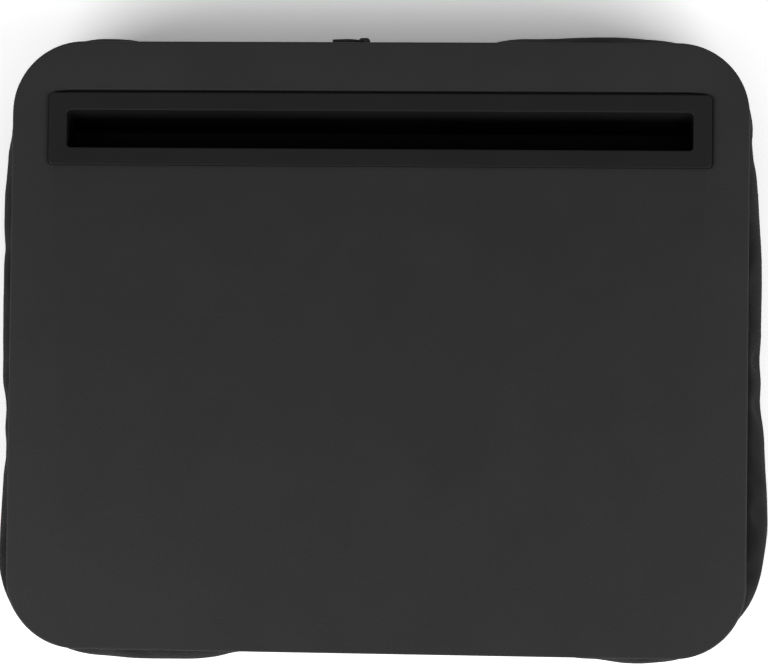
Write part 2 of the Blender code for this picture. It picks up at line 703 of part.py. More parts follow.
def make_slider(parts, cutters, looks):
    """Zip slider: a plate on each side of the teeth, joined by a post, with an arch for the pull."""
    left = ZIP_SHUT_END_X - SLIDER_LENGTH
    right = ZIP_SHUT_END_X
    flange_inner = TEETH_HALF + SLIDE_FIT
    front_section = upright_box(PLATE_INNER_Y, PLATE_OUTER_Y, -SLIDER_HALF_WIDTH, SLIDER_HALF_WIDTH)
    slider = bar("zip_slider", parts, front_section, left, right)
    bite = SLIDER_PLATE / 2

    back_section = upright_box(BACK_PLATE_INNER_Y, BACK_PLATE_OUTER_Y, -flange_inner, flange_inner)
    back = bar("slider_back", cutters, back_section, left + bite, right - bite)
    post_half = TEETH_GAP / 2 - SLIDE_FIT
    post_section = upright_box(BACK_PLATE_INNER_Y + bite, PLATE_INNER_Y + bite, -post_half, post_half)
    post = bar("slider_post", cutters, post_section, right - bite * 2 - SLIDER_POST_LENGTH, right - bite * 2)
    boolean(slider, as_cutter(post, cutters), "UNION")
    boolean(slider, as_cutter(back, cutters), "UNION")

    for side in (1, -1):
        near = min(side * flange_inner, side * (SLIDER_HALF_WIDTH - bite / 4))
        far = max(side * flange_inner, side * (SLIDER_HALF_WIDTH - bite / 4))
        section = upright_box(TAPE_OUTER_Y + SLIDE_FIT, PLATE_INNER_Y + bite, near, far)
        flange = bar(f"slider_flange_{side + 2}", cutters, section, left + bite / 2, right - bite / 2)
        boolean(slider, as_cutter(flange, cutters), "UNION")

    arch_section = upright_box(PLATE_OUTER_Y - bite, ARCH_OUTER_Y, -ARCH_WIDTH / 2, ARCH_WIDTH / 2)
    arch = bar(
        "slider_arch", cutters, arch_section, SLIDER_CENTRE_X - ARCH_LENGTH / 2, SLIDER_CENTRE_X + ARCH_LENGTH / 2
    )
    eye_half = ARCH_LENGTH / 2 - ARCH_WALL
    eye_section = upright_box(PLATE_OUTER_Y, ARCH_INNER_Y, -ARCH_WIDTH, ARCH_WIDTH)
    eye = bar("slider_eye", cutters, eye_section, SLIDER_CENTRE_X - eye_half, SLIDER_CENTRE_X + eye_half)
    boolean(slider, as_cutter(arch, cutters), "UNION")
    boolean(slider, as_cutter(eye, cutters), "DIFFERENCE")
    return as_part(slider, looks["metal"])


def make_pull(parts, looks):
    """Pull tab that lies flat along the zip, with its end bar through the slider's arch."""
    near = PULL_BAR / 2
    outline = rounded_rectangle(
        PULL_LENGTH, PULL_WIDTH, PULL_CORNER, 3, (near - PULL_LENGTH / 2, 0.0)
    )
    window_length = ARCH_LENGTH / 2 + SLIDE_FIT * 2
    window = rounded_rectangle(
        window_length, PULL_WINDOW_WIDTH, SLIDE_FIT, 1, (-near - window_length / 2, 0.0)
    )
    pull = plate("zip_pull", parts, [outline, window], -PULL_BAR / 2, PULL_BAR / 2)
    pull.rotation_euler = (math.radians(90), 0.0, 0.0)
    pull.location = (SLIDER_CENTRE_X, PULL_AXIS_Y, WIDEST_HEIGHT)
    bpy.context.view_layer.update()
    return as_part(pull, looks["metal"])


def make_looks():
    """One material for each finish."""
    return {
        "tray": principled("charcoal_plastic", CHARCOAL_PLASTIC),
        "insert": principled("dark_plastic", DARK_PLASTIC),
        "cover": principled("black_fabric", BLACK_FABRIC),
        "liner": principled("liner_fabric", LINER_FABRIC),
        "beads": principled("beads", BEAD_WHITE),
        "tape": principled("black_tape", BLACK_TAPE),
        "teeth": principled("zip_nylon", ZIP_NYLON),
        "metal": principled("zip_metal", ZIP_METAL, metallic=0.6),
    }


def main():
    """Build the stand, then hang its moving pieces on empties at their joints."""
    clear_scene()
    parts = new_collection("Tablet cushion stand")
    cutters = new_collection("Cutters")
    looks = make_looks()

    make_cushion(parts, cutters, looks)
    hooks = make_strips(parts, looks)
    tray = make_tray(parts, cutters, looks)
    insert = make_insert(parts, cutters, looks)
    make_zip_halves(parts, looks)
    slider = make_slider(parts, cutters, looks)
    pull = make_pull(parts, looks)

    pivot("tray_lift", parts, (0.0, 0.0, TRAY_UNDERSIDE), [tray, insert, *hooks])
    slider_place = (SLIDER_CENTRE_X, TEETH_OUTER_Y, WIDEST_HEIGHT)
    runner = pivot("zip_run", parts, slider_place, [slider])
    hinge = pivot("pull_hinge", parts, (SLIDER_CENTRE_X, PULL_AXIS_Y, WIDEST_HEIGHT), [pull])
    hinge.parent = runner
    hinge.matrix_parent_inverse = runner.matrix_world.inverted()


main()
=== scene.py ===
"""Dresses the tablet cushion stand: a moulded tray with a tablet trough, on a zipped cushion of beads.

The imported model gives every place. Each sub-assembly below is a class that holds its sizes in metres,
builds its pieces as numpy surfaces and dresses them in a procedural finish.
"""

import logging
import math
from collections.abc import Sequence
from dataclasses import dataclass, field, replace
from enum import Enum

import bpy
import numpy as np
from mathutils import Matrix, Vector

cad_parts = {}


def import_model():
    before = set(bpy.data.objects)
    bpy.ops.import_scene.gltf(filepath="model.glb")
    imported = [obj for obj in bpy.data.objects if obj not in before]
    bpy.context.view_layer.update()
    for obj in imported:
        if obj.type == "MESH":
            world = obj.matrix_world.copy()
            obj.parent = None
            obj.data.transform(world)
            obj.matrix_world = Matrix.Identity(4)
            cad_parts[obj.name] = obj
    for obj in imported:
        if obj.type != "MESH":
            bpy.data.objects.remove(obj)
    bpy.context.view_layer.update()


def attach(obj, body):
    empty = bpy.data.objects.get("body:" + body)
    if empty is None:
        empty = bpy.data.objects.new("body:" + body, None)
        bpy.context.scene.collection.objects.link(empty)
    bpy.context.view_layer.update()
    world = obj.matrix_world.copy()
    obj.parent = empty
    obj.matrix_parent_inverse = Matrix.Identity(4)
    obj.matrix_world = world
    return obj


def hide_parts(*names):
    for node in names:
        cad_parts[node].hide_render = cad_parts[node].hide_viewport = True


log = logging.getLogger("cushion_stand")

Array = np.ndarray
Counts = tuple[int, int, int]
Pair = tuple[float, float]
Triple = tuple[float, float, float]
Socket = bpy.types.NodeSocket
Object = bpy.types.Object
Material = bpy.types.Material

QUARTER = math.pi / 2
LEAN = math.radians(20)
LEAST_CORNER = 0.0002
NEAR_SEAM = np.array([0.0, 0.4, 0.8, 1.2, 1.7, 2.3, 3.1, 4.2, 5.6, 7.4]) / 1000
SIDE_STEP = 0.0021
SOFT_EDGE = 60.0
LAYER_DEPTHS = (0.0, 0.0016, 0.0027)


def rounded_loop(low: Pair, high: Pair, corner: float, counts: Counts) -> Array:
    """Points of a rounded rectangle, counterclockwise from the front end of its right rear corner.

    Each corner is a quarter circle, centre + corner * (cos t, sin t), and each side is a straight line
    in even steps. Two loops with the same counts can be joined point by point.

    Args:
        low: left front corner of the box round the loop.
        high: right rear corner of that box.
        corner: corner radius.
        counts: steps along x, along y and round each corner.

    Returns:
        Array of points by 2.
    """
    left, front = low[0] + corner, low[1] + corner
    right, rear = high[0] - corner, high[1] - corner
    turn = np.linspace(0.0, QUARTER, counts[2] + 1)
    middles = [(right, rear), (left, rear), (left, front), (right, front)]
    arcs = []
    for k, middle in enumerate(middles):
        swung = np.stack([np.cos(turn + k * QUARTER), np.sin(turn + k * QUARTER)], axis=1)
        arcs.append(np.array(middle) + corner * swung)
    runs = []
    for k, count in enumerate(counts[:2] * 2):
        share = (np.arange(1, count) / count)[:, None]
        runs += [arcs[k], arcs[k][-1] * (1 - share) + arcs[(k + 1) % 4][0] * share]
    return np.concatenate(runs)


def inset_loop(low: Pair, high: Pair, corner: float, inset: float, counts: Counts) -> Array:
    """Rounded rectangle between two corners, drawn in by inset, as points by 2."""
    near, far = (low[0] + inset, low[1] + inset), (high[0] - inset, high[1] - inset)
    return rounded_loop(near, far, max(corner - inset, corner * 0.1), counts)


def centred_loop(
    size: Sequence[float], corner: float, inset: float, counts: Counts, middle: float = 0.0
) -> Array:
    """Rounded rectangle round x = 0 and y = middle, drawn in by inset, as points by 2."""
    half_x, half_y = size[0] / 2, size[1] / 2
    return inset_loop((-half_x, middle - half_y), (half_x, middle + half_y), corner, inset, counts)


def loop_directions(counts: Counts) -> Array:
    """Outward direction at each point of a rounded loop.

    Args:
        counts: steps along x, along y and round each corner.

    Returns:
        Points by 2, in the order of the loop's own points.
    """
    turns = []
    for k, count in enumerate(counts[:2] * 2):
        bend = np.linspace(0.0, QUARTER, counts[2] + 1) + k * QUARTER
        turns += [bend, np.full(count - 1, (k + 1) * QUARTER)]
    turn = np.concatenate(turns)
    return np.stack([np.cos(turn), np.sin(turn)], axis=1)


def lift(loop: Array, height: float | Array) -> Array:
    """Loop of points by 2 set at a height, as points by 3."""
    return np.column_stack([loop, np.broadcast_to(height, len(loop))])


def arc_lengths(ring: Array) -> Array:
    """Distance along a closed ring at each point, and its whole length as the last value."""
    steps = np.linalg.norm(np.roll(ring, -1, axis=0) - ring, axis=1)
    return np.concatenate([[0.0], np.cumsum(steps)])


def quarter_round(radius: float, steps: int) -> Array:
    """Inward and upward parts of a quarter round, radius * (1 - cos t, sin t), from side to top."""
    turn = np.linspace(0.0, QUARTER, steps + 1)
    return np.stack([radius * (1 - np.cos(turn)), radius * np.sin(turn)], axis=1)


def smooth_step(value: Array | float, low: float, high: float) -> Array:
    """Goes from 0 at low to 1 at high along 3t^2 - 2t^3."""
    share = np.clip((np.asarray(value) - low) / (high - low), 0.0, 1.0)
    return share * share * (3 - 2 * share)


def smooth_round(values: Array, width: float) -> Array:
    """Closed row of values blurred by a bell curve.

    Args:
        values: one value at each step round.
        width: width of the curve, in steps.

    Returns:
        Array shaped as values.
    """
    count = len(values)
    step = np.minimum(np.arange(count), count - np.arange(count))
    bell = np.exp(-0.5 * (step / width) ** 2)
    return np.real(np.fft.ifft(np.fft.fft(values) * np.fft.fft(bell / bell.sum())))


def soft_noise(x: Array, y: Array, scale: float, seed: int, waves: int = 14) -> Array:
    """Smooth uneven field between about -1 and 1: a sum of plane waves in seeded directions.

    Args:
        x: places across.
        y: places along.
        scale: middle wavelength.
        seed: seed of the directions, wavelengths and phases.
        waves: how many waves are added.

    Returns:
        Array shaped as x and y.
    """
    rng = np.random.default_rng(seed)
    turn = rng.uniform(0, math.tau, waves)
    length = scale * rng.uniform(0.65, 1.6, waves)
    phase = rng.uniform(0, math.tau, waves)
    total = np.zeros(np.broadcast(x, y).shape)
    for k in range(waves):
        total += np.sin(math.tau * (x * math.cos(turn[k]) + y * math.sin(turn[k])) / length[k] + phase[k])
    return total / math.sqrt(waves)


class Shell:
    """Collects grids of points and flat caps, and makes one mesh object of them."""

    def __init__(self, flat_axes: tuple[int, int] = (0, 1)) -> None:
        """Starts with no points and no faces.

        Args:
            flat_axes: the two axes that a flat cloth lies along.
        """
        self.flat_axes = list(flat_axes)
        self.points: list[Array] = []
        self.corners: list[Array] = []
        self.sizes: list[Array] = []
        self.cloth: list[Array] = []
        self.count = 0

    def add(self, points: Array, faces: Array, cloth: Array | None = None) -> int:
        """Adds points and faces that all have as many corners.

        Args:
            points: points by 3.
            faces: faces by corners, as indices into these points.
            cloth: faces by corners by 2, the place on the flat cloth; x and y where it is left out.

        Returns:
            Index of the first added point in the whole shell.
        """
        if cloth is None:
            cloth = points[faces][..., self.flat_axes]
        start = self.count
        self.points.append(points)
        self.corners.append((faces + start).ravel())
        self.sizes.append(np.full(len(faces), faces.shape[1]))
        self.cloth.append(cloth.reshape(-1, 2))
        self.count += len(points)
        return start

    def grid(
        self,
        points: Array,
        closed: bool = False,
        cloth: Array | None = None,
        keep: Array | None = None,
    ) -> int:
        """Adds a ring of quads; they face out where columns run counterclockwise and rows run up.

        Args:
            points: rows by columns by 3.
            closed: the last row meets the first.
            cloth: the place on the flat cloth, by 2, with one row and column more where it is closed.
            keep: rows by columns of quads that stay; all of them where it is left out.

        Returns:
            Index of the first added point in the whole shell.
        """
        rows, columns = points.shape[:2]
        row = np.arange(rows if closed else rows - 1)[:, None]
        column = np.arange(columns)[None, :]
        row_after, column_after = (row + 1) % rows, (column + 1) % columns
        low, high = row * columns, row_after * columns
        faces = np.stack([low + column, low + column_after, high + column_after, high + column], axis=-1)
        flat = None
        if cloth is not None:
            spots = ((row, column), (row, column + 1), (row + 1, column + 1), (row + 1, column))
            flat = np.stack([cloth[spot] for spot in spots], axis=-2)
        if keep is not None:
            faces = faces[keep]
            flat = None if flat is None else flat[keep]
        faces = faces.reshape(-1, 4)
        return self.add(points.reshape(-1, 3), faces, None if flat is None else flat.reshape(-1, 4, 2))

    def cap(self, ring: Array, start: int, facing_up: bool) -> None:
        """Closes a ring with a flat face.

        Args:
            ring: points by 3, counterclockwise, which the shell holds already.
            start: index of the ring's first point in the shell.
            facing_up: the face looks up, or else down.
        """
        order = np.arange(len(ring)) if facing_up else np.arange(len(ring))[::-1]
        self.corners.append(order + start)
        self.sizes.append(np.array([len(ring)]))
        self.cloth.append(ring[order][:, self.flat_axes])

    def tube(self, rings: Array, cloth: Array | None = None, foot: bool = True, lid: bool = True) -> None:
        """Adds a stack of rings with a flat face at each end.

        Args:
            rings: rings by points by 3.
            cloth: the place on the flat cloth, as a grid takes it.
            foot: the first ring gets its face.
            lid: the last ring gets its face.
        """
        start = self.grid(rings, cloth=cloth)
        if foot:
            self.cap(rings[0], start, False)
        if lid:
            self.cap(rings[-1], start + (len(rings) - 1) * rings.shape[1], True)

    def repeat(self, shape: Array, faces: Array, places: Array, frames: Array) -> None:
        """Adds a copy of one small shape at each place: place + frame * point.

        Args:
            shape: points by 3 of the shape round its own origin.
            faces: faces by corners.
            places: copies by 3.
            frames: copies by 3 by 3, with the shape's own axes as columns.
        """
        points = places[:, None, :] + np.einsum("kij,pj->kpi", frames, shape)
        copies = faces[None] + (np.arange(len(places)) * len(shape))[:, None, None]
        self.add(points.reshape(-1, 3), copies.reshape(-1, faces.shape[1]))

    def build(self, name: str, material: Material, sharp: float = 40.0) -> Object:
        """Makes the mesh object.

        Args:
            name: name of the object and its mesh.
            material: its finish.
            sharp: edges that turn by more than this many degrees stay sharp.

        Returns:
            The new object, linked to the scene.
        """
        points = np.concatenate(self.points)
        corners = np.concatenate(self.corners)
        sizes = np.concatenate(self.sizes)
        mesh = bpy.data.meshes.new(name)
        mesh.vertices.add(len(points))
        mesh.vertices.foreach_set("co", points.astype(np.float32).ravel())
        mesh.loops.add(len(corners))
        mesh.loops.foreach_set("vertex_index", corners.astype(np.int32))
        mesh.polygons.add(len(sizes))
        mesh.polygons.foreach_set("loop_start", (np.cumsum(sizes) - sizes).astype(np.int32))
        mesh.update(calc_edges=True)
        flat = mesh.uv_layers.new(name="Cloth")
        flat.data.foreach_set("uv", np.concatenate(self.cloth).astype(np.float32).ravel())
        mesh.validate()
        mesh.materials.append(material)
        mesh.shade_smooth()
        mesh.set_sharp_from_angle(angle=math.radians(sharp))
        obj = bpy.data.objects.new(name, mesh)
        bpy.context.scene.collection.objects.link(obj)
        return obj


def thicken(obj: Object, thickness: float) -> None:
    """Gives an open sheet a wall on its inner side.

    Args:
        obj: the sheet.
        thickness: thickness of the wall.
    """
    wall = obj.modifiers.new("Cloth thickness", "SOLIDIFY")
    wall.thickness = thickness
    wall.offset = -1.0
    wall.use_even_offset = False


class Body(Enum):
    """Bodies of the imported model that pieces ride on."""

    CUSHION = "cushion"
    TRAY = "tray"
    SLIDER = "slider"
    PULL = "pull"


def place_piece(obj: Object, body: Body, slot: str, *nodes: str) -> None:
    """Hangs a piece on its body, in place of the nodes that it stands for.

    Args:
        obj: the finished piece.
        body: the body that it rides on.
        slot: name of a material slot; not used.
        nodes: the nodes that it replaces.
    """
    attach(obj, body.value)
    if nodes:
        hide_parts(*nodes)
    log.info("%s: %d faces on %s", obj.name, len(obj.data.polygons), body.value)


class Dye:
    """Lays out the nodes of one finish round its Principled shader."""

    def __init__(self, name: str, colour: Sequence[float], roughness: float, specular: float = 0.5) -> None:
        """Starts a material.

        Args:
            name: the material's name.
            colour: its plain colour.
            roughness: its plain roughness.
            specular: its specular level.
        """
        self.material = bpy.data.materials.new(name)
        self.material.use_nodes = True
        self.nodes = self.material.node_tree.nodes
        self.links = self.material.node_tree.links
        self.shader = self.nodes["Principled BSDF"]
        self.colour = colour
        self.shader.inputs["Base Color"].default_value = (*colour, 1.0)
        self.shader.inputs["Roughness"].default_value = roughness
        self.shader.inputs["Specular IOR Level"].default_value = specular

    def node(self, kind: str, inputs: dict | None = None, **settings: object) -> bpy.types.Node:
        """Adds one node.

        Args:
            kind: Blender's name for the node type.
            inputs: value or socket for each named or numbered input.
            settings: the node's own options.

        Returns:
            The new node.
        """
        made = self.nodes.new(kind)
        for option, value in settings.items():
            setattr(made, option, value)
        for key, value in (inputs or {}).items():
            self.feed(made.inputs[key], value)
        return made

    def feed(self, socket: Socket, value: object) -> None:
        """Links a socket to an input, or sets the input to a value.

        Args:
            socket: the input.
            value: the socket or the value.
        """
        if isinstance(value, Socket):
            self.links.new(value, socket)
        else:
            socket.default_value = value

    def math(self, operation: str, first: object, second: object = 0.0) -> Socket:
        """Result of one Math node on sockets or numbers."""
        return self.node("ShaderNodeMath", {0: first, 1: second}, operation=operation).outputs[0]

    def place(self, stretch: Sequence[float] = (1.0, 1.0, 1.0)) -> Socket:
        """Object coordinates in metres, stretched along the axes."""
        source = self.node("ShaderNodeTexCoord").outputs["Object"]
        return self.node("ShaderNodeMapping", {"Vector": source, "Scale": tuple(stretch)}).outputs[0]

    def cloth_place(self, stretch: Sequence[float] = (1.0, 1.0, 1.0)) -> Socket:
        """Place on the flat cloth in metres, stretched along its two directions."""
        source = self.node("ShaderNodeUVMap", uv_map="Cloth").outputs["UV"]
        return self.node("ShaderNodeMapping", {"Vector": source, "Scale": tuple(stretch)}).outputs[0]

    def noise(self, place: Socket, scale: float, detail: float = 2.0) -> Socket:
        """Noise between 0 and 1 at a scale in turns per metre."""
        inputs = {"Vector": place, "Scale": scale, "Detail": detail, "Roughness": 0.55}
        return self.node("ShaderNodeTexNoise", inputs).outputs["Fac"]

    def cells(self, place: Socket, scale: float) -> Socket:
        """Distance from the middle of each cell, at a scale in cells per metre."""
        return self.node("ShaderNodeTexVoronoi", {"Vector": place, "Scale": scale}).outputs["Distance"]

    def span(self, value: object, low: float, high: float, to_low: float, to_high: float) -> Socket:
        """Value carried from one range into another, and held inside it."""
        inputs = {0: value, 1: low, 2: high, 3: to_low, 4: to_high}
        return self.node("ShaderNodeMapRange", inputs).outputs[0]

    def blend(self, share: object, first: object, second: object) -> Socket:
        """Mixes two colours.

        Args:
            share: how much of the second one is in the mix.
            first: a socket or three numbers.
            second: a socket or three numbers.

        Returns:
            The mixed colour.
        """
        made = self.node("ShaderNodeMix", data_type="RGBA")
        self.feed(made.inputs[0], share)
        for socket, value in ((made.inputs[6], first), (made.inputs[7], second)):
            self.feed(socket, value if isinstance(value, Socket) else (*value, 1.0))
        return made.outputs[2]

    def relief(self, height: object, depth: float, strength: float = 1.0) -> None:
        """Raises the surface, over any relief already there.

        Args:
            height: height between 0 and 1.
            depth: what a height of 1 stands for.
            strength: how strongly it shows.
        """
        made = self.node("ShaderNodeBump", {"Height": height, "Distance": depth, "Strength": strength})
        below = self.shader.inputs["Normal"]
        if below.is_linked:
            self.links.new(below.links[0].from_socket, made.inputs["Normal"])
        self.links.new(made.outputs[0], below)

    def tone(self, factor: float) -> tuple[float, ...]:
        """The plain colour made lighter or darker by a factor."""
        return tuple(channel * factor for channel in self.colour)

    def paint(self, colour: Socket) -> None:
        """Gives the surface its colour."""
        self.feed(self.shader.inputs["Base Color"], colour)

    def gloss(self, roughness: Socket) -> None:
        """Gives the surface its roughness."""
        self.feed(self.shader.inputs["Roughness"], roughness)


@dataclass(frozen=True)
class MouldedPlastic:
    """Moulded plastic with an eroded grain, faint mottling, fine scuffs and, where it is set, painted shade
    that darkens it with depth.
    """

    name: str
    colour: Triple
    roughness: float
    specular: float
    grain: float
    grain_depth: float
    scuff: float
    # Painted shade with depth: the colour darkens from the first height down to the second, to the given
    # share.
    painted_shade_from: float = 0.0
    painted_shade_to: float = 0.0
    painted_shade_tone: float = 1.0
    deep_floor: float = 0.0

    def make(self) -> Material:
        """Builds the material.

        Below a first height its colour is painted darker, down to a share of itself at a second height:
        painted shade for the depths of a hollow. It gets dull at deep_floor.

        Returns:
            The finished material.
        """
        dye = Dye(self.name, self.colour, self.roughness, self.specular)
        place = dye.place()
        mottle = dye.span(dye.noise(place, 26.0, 4.0), 0.3, 0.7, 0.0, 1.0)
        pits = dye.span(dye.noise(place, self.grain, 3.0), 0.35, 0.65, 0.0, 1.0)
        colour = dye.blend(mottle, dye.tone(0.96), dye.tone(1.04))
        colour = dye.blend(dye.math("MULTIPLY", pits, 0.35), colour, dye.tone(0.86))
        scuffs = [
            dye.span(dye.noise(dye.place(stretch), 120.0, 3.0), 0.66, 0.74, 0.0, 1.0)
            for stretch in ((0.05, 1.0, 1.0), (1.0, 0.06, 1.0))
        ]
        worn = dye.math("MULTIPLY", dye.math("MAXIMUM", *scuffs), self.scuff)
        colour = dye.blend(worn, colour, dye.tone(1.6))
        rough = dye.span(mottle, 0.0, 1.0, self.roughness - 0.03, self.roughness + 0.03)
        # Painted shade: the colour is darkened with depth, in place of the shade deep in the trough.
        if self.painted_shade_tone < 1.0:
            height = dye.node("ShaderNodeSeparateXYZ", {0: place}).outputs[2]
            deep = dye.span(height, self.painted_shade_to, self.painted_shade_from, 1.0, 0.0)
            colour = dye.blend(deep, colour, dye.tone(self.painted_shade_tone))
            bottom = dye.span(height, self.deep_floor, self.deep_floor + 0.003, 0.95, 0.0)
            rough = dye.math("MAXIMUM", rough, bottom)
        dye.paint(colour)
        dye.gloss(rough)
        dye.relief(pits, self.grain_depth, 0.8)
        dye.relief(dye.cells(place, self.grain * 0.62), self.grain_depth, 0.4)
        return dye.material


@dataclass(frozen=True)
class WovenCloth:
    """Plain weave: warp and weft threads that cross over and under, with a soft nap on top."""

    name: str
    colour: Triple
    thread: float
    sheen: float
    nap: float

    def make(self) -> Material:
        """Builds the material. A thread's rise is the sine of half a turn across it, squared.

        Returns:
            The finished material.
        """
        dye = Dye(self.name, self.colour, 0.95, 0.18)
        dye.shader.inputs["Sheen Weight"].default_value = self.sheen
        dye.shader.inputs["Sheen Roughness"].default_value = 0.45
        dye.shader.inputs["Sheen Tint"].default_value = (0.92, 0.92, 0.93, 1.0)
        place = dye.cloth_place()
        split = dye.node("ShaderNodeSeparateXYZ", {0: place})
        rises = []
        for axis in (0, 1):
            turn = dye.math("SINE", dye.math("MULTIPLY", split.outputs[axis], math.pi / self.thread))
            rises.append(dye.math("MULTIPLY", turn, turn))
        over = dye.node("ShaderNodeTexChecker", {"Vector": place, "Scale": 1.0 / self.thread}).outputs["Fac"]
        keep_warp = dye.math("MULTIPLY", rises[0], over)
        keep_weft = dye.math("MULTIPLY", rises[1], dye.math("SUBTRACT", 1.0, over))
        weave = dye.math("ADD", keep_warp, keep_weft)
        slub = [
            dye.noise(dye.cloth_place(stretch), 900.0, 2.0)
            for stretch in ((1.0, 0.02, 1.0), (0.02, 1.0, 1.0))
        ]
        threads = dye.math("MULTIPLY", dye.math("ADD", *slub), 0.5)
        # Painted shade in the valleys between the threads and painted light on their crowns.
        colour = dye.blend(weave, dye.tone(0.55), dye.tone(1.2))
        colour = dye.blend(dye.span(threads, 0.38, 0.62, 0.0, 0.6), colour, dye.tone(1.45))
        cloud = dye.span(dye.noise(dye.place(), 34.0, 3.0), 0.35, 0.65, 0.0, self.nap)
        lint = dye.span(dye.cells(dye.place(), 180.0), 0.0, 0.09, 0.35, 0.0)
        colour = dye.blend(dye.math("MAXIMUM", cloud, lint), colour, dye.tone(1.9))
        dye.paint(colour)
        dye.relief(weave, self.thread * 0.35, 0.75)
        dye.relief(dye.noise(dye.place(), 520.0, 3.0), 0.0003, 0.5)
        return dye.material


@dataclass(frozen=True)
class TapeWeb:
    """Woven tape with ribs along it and cross threads, as hook-and-loop or zip tape has."""

    name: str
    colour: Triple
    rib: float
    fuzz: float

    def make(self) -> Material:
        """Builds the material; its ribs are half sine waves across the cloth's second direction.

        Returns:
            The finished material.
        """
        dye = Dye(self.name, self.colour, 0.9, 0.25)
        dye.shader.inputs["Sheen Weight"].default_value = 0.25
        dye.shader.inputs["Sheen Roughness"].default_value = 0.5
        split = dye.node("ShaderNodeSeparateXYZ", {0: dye.cloth_place()})
        along = dye.math("SINE", dye.math("MULTIPLY", split.outputs[0], math.tau / self.rib * 0.6))
        across = dye.math("SINE", dye.math("MULTIPLY", split.outputs[1], math.tau / self.rib))
        rise = dye.span(dye.math("MULTIPLY", along, across), -1.0, 1.0, 0.0, 1.0)
        fluff = dye.span(dye.noise(dye.place(), 1400.0, 3.0), 0.35, 0.7, 0.0, 1.0)
        # Painted shade between the ribs and painted light on their tops.
        colour = dye.blend(rise, dye.tone(0.6), dye.tone(1.3))
        dye.paint(dye.blend(dye.math("MULTIPLY", fluff, self.fuzz), colour, dye.tone(2.2)))
        dye.relief(rise, self.rib * 0.3, 0.8)
        dye.relief(fluff, 0.0002, 0.6)
        return dye.material


@dataclass(frozen=True)
class Beads:
    """Packed expanded beads: round cells of a few millimetres with painted shade in the gaps between them."""

    name: str
    colour: Triple
    bead: float

    def make(self) -> Material:
        """Builds the material; each bead's height falls with the distance from its cell's middle.

        Returns:
            The finished material.
        """
        dye = Dye(self.name, self.colour, 0.8, 0.3)
        away = dye.cells(dye.place(), 1.0 / self.bead)
        gap = dye.span(away, 0.42, 0.75, 0.0, 1.0)
        pores = dye.noise(dye.place(), 2600.0, 2.0)
        colour = dye.blend(dye.span(pores, 0.3, 0.7, 0.0, 1.0), dye.tone(0.93), self.colour)
        # Painted shade: the gaps between the beads are darkened.
        dye.paint(dye.blend(gap, colour, dye.tone(0.42)))
        dye.relief(dye.math("SUBTRACT", 1.0, dye.math("MULTIPLY", away, away)), self.bead * 0.5, 1.0)
        dye.relief(pores, 0.0001, 0.4)
        return dye.material


@dataclass(frozen=True)
class SmoothNylon:
    """Drawn nylon of zip teeth, hooks, loops and thread, with fine lengthwise lines."""

    name: str
    colour: Triple
    roughness: float

    def make(self) -> Material:
        """Builds the material.

        Returns:
            The finished material.
        """
        dye = Dye(self.name, self.colour, self.roughness, 0.45)
        lines = dye.noise(dye.place((0.3, 1.0, 1.0)), 3000.0, 2.0)
        tone = dye.span(lines, 0.3, 0.7, 0.0, 1.0)
        dye.paint(dye.blend(tone, dye.tone(0.8), dye.tone(1.25)))
        dye.gloss(dye.span(tone, 0.0, 1.0, self.roughness - 0.06, self.roughness + 0.06))
        dye.relief(lines, 0.00005, 0.6)
        return dye.material


@dataclass(frozen=True)
class EnamelledMetal:
    """Die-cast zinc under baked black enamel, worn bare in small chips."""

    name: str
    colour: Triple
    bare: Triple

    def make(self) -> Material:
        """Builds the material.

        Returns:
            The finished material.
        """
        dye = Dye(self.name, self.colour, 0.35, 0.5)
        place = dye.place()
        chips = dye.span(dye.noise(place, 900.0, 4.0), 0.66, 0.7, 0.0, 1.0)
        skin = dye.noise(place, 1600.0, 2.0)
        dye.paint(dye.blend(chips, self.colour, self.bare))
        dye.feed(dye.shader.inputs["Metallic"], dye.span(chips, 0.0, 1.0, 0.25, 1.0))
        dye.gloss(dye.span(skin, 0.3, 0.7, 0.3, 0.44))
        dye.relief(skin, 0.00006, 0.5)
        dye.relief(dye.math("SUBTRACT", 1.0, chips), 0.00005, 0.6)
        return dye.material


@dataclass
class Palette:
    """The stand's finishes, each made once."""

    tray: Material
    insert: Material
    cover: Material
    liner: Material
    beads: Material
    tape: Material
    thread: Material
    nylon: Material
    metal: Material


def make_palette() -> Palette:
    """Makes every finish of the stand.

    Returns:
        The palette of finished materials.
    """
    black = (0.016, 0.016, 0.017)
    return Palette(
        tray=MouldedPlastic("Charcoal_grain", (0.018, 0.018, 0.0182), 0.46, 0.30, 1700.0, 4e-5, 0.05).make(),
        # The insert's trough is given painted shade with depth below its mouth.
        insert=MouldedPlastic(
            "Dark_satin", (0.0085, 0.0085, 0.0087), 0.42, 0.22, 2600.0, 2e-5, 0.03,
            painted_shade_from=0.0645, painted_shade_to=0.056, painted_shade_tone=0.02, deep_floor=0.041,
        ).make(),
        cover=WovenCloth("Black_weave", (0.0095, 0.0095, 0.0098), 0.0006, 0.06, 0.35).make(),
        liner=WovenCloth("Liner_weave", (0.55, 0.55, 0.54), 0.0004, 0.10, 0.10).make(),
        beads=Beads("Bead_white", (0.80, 0.80, 0.78), 0.0032).make(),
        tape=TapeWeb("Black_tape", black, 0.0009, 0.25).make(),
        thread=SmoothNylon("Sewing_thread", (0.024, 0.024, 0.025), 0.55).make(),
        nylon=SmoothNylon("Zip_nylon", (0.014, 0.014, 0.0145), 0.42).make(),
        metal=EnamelledMetal("Zip_enamel", (0.018, 0.018, 0.018), (0.35, 0.34, 0.32)).make(),
    )


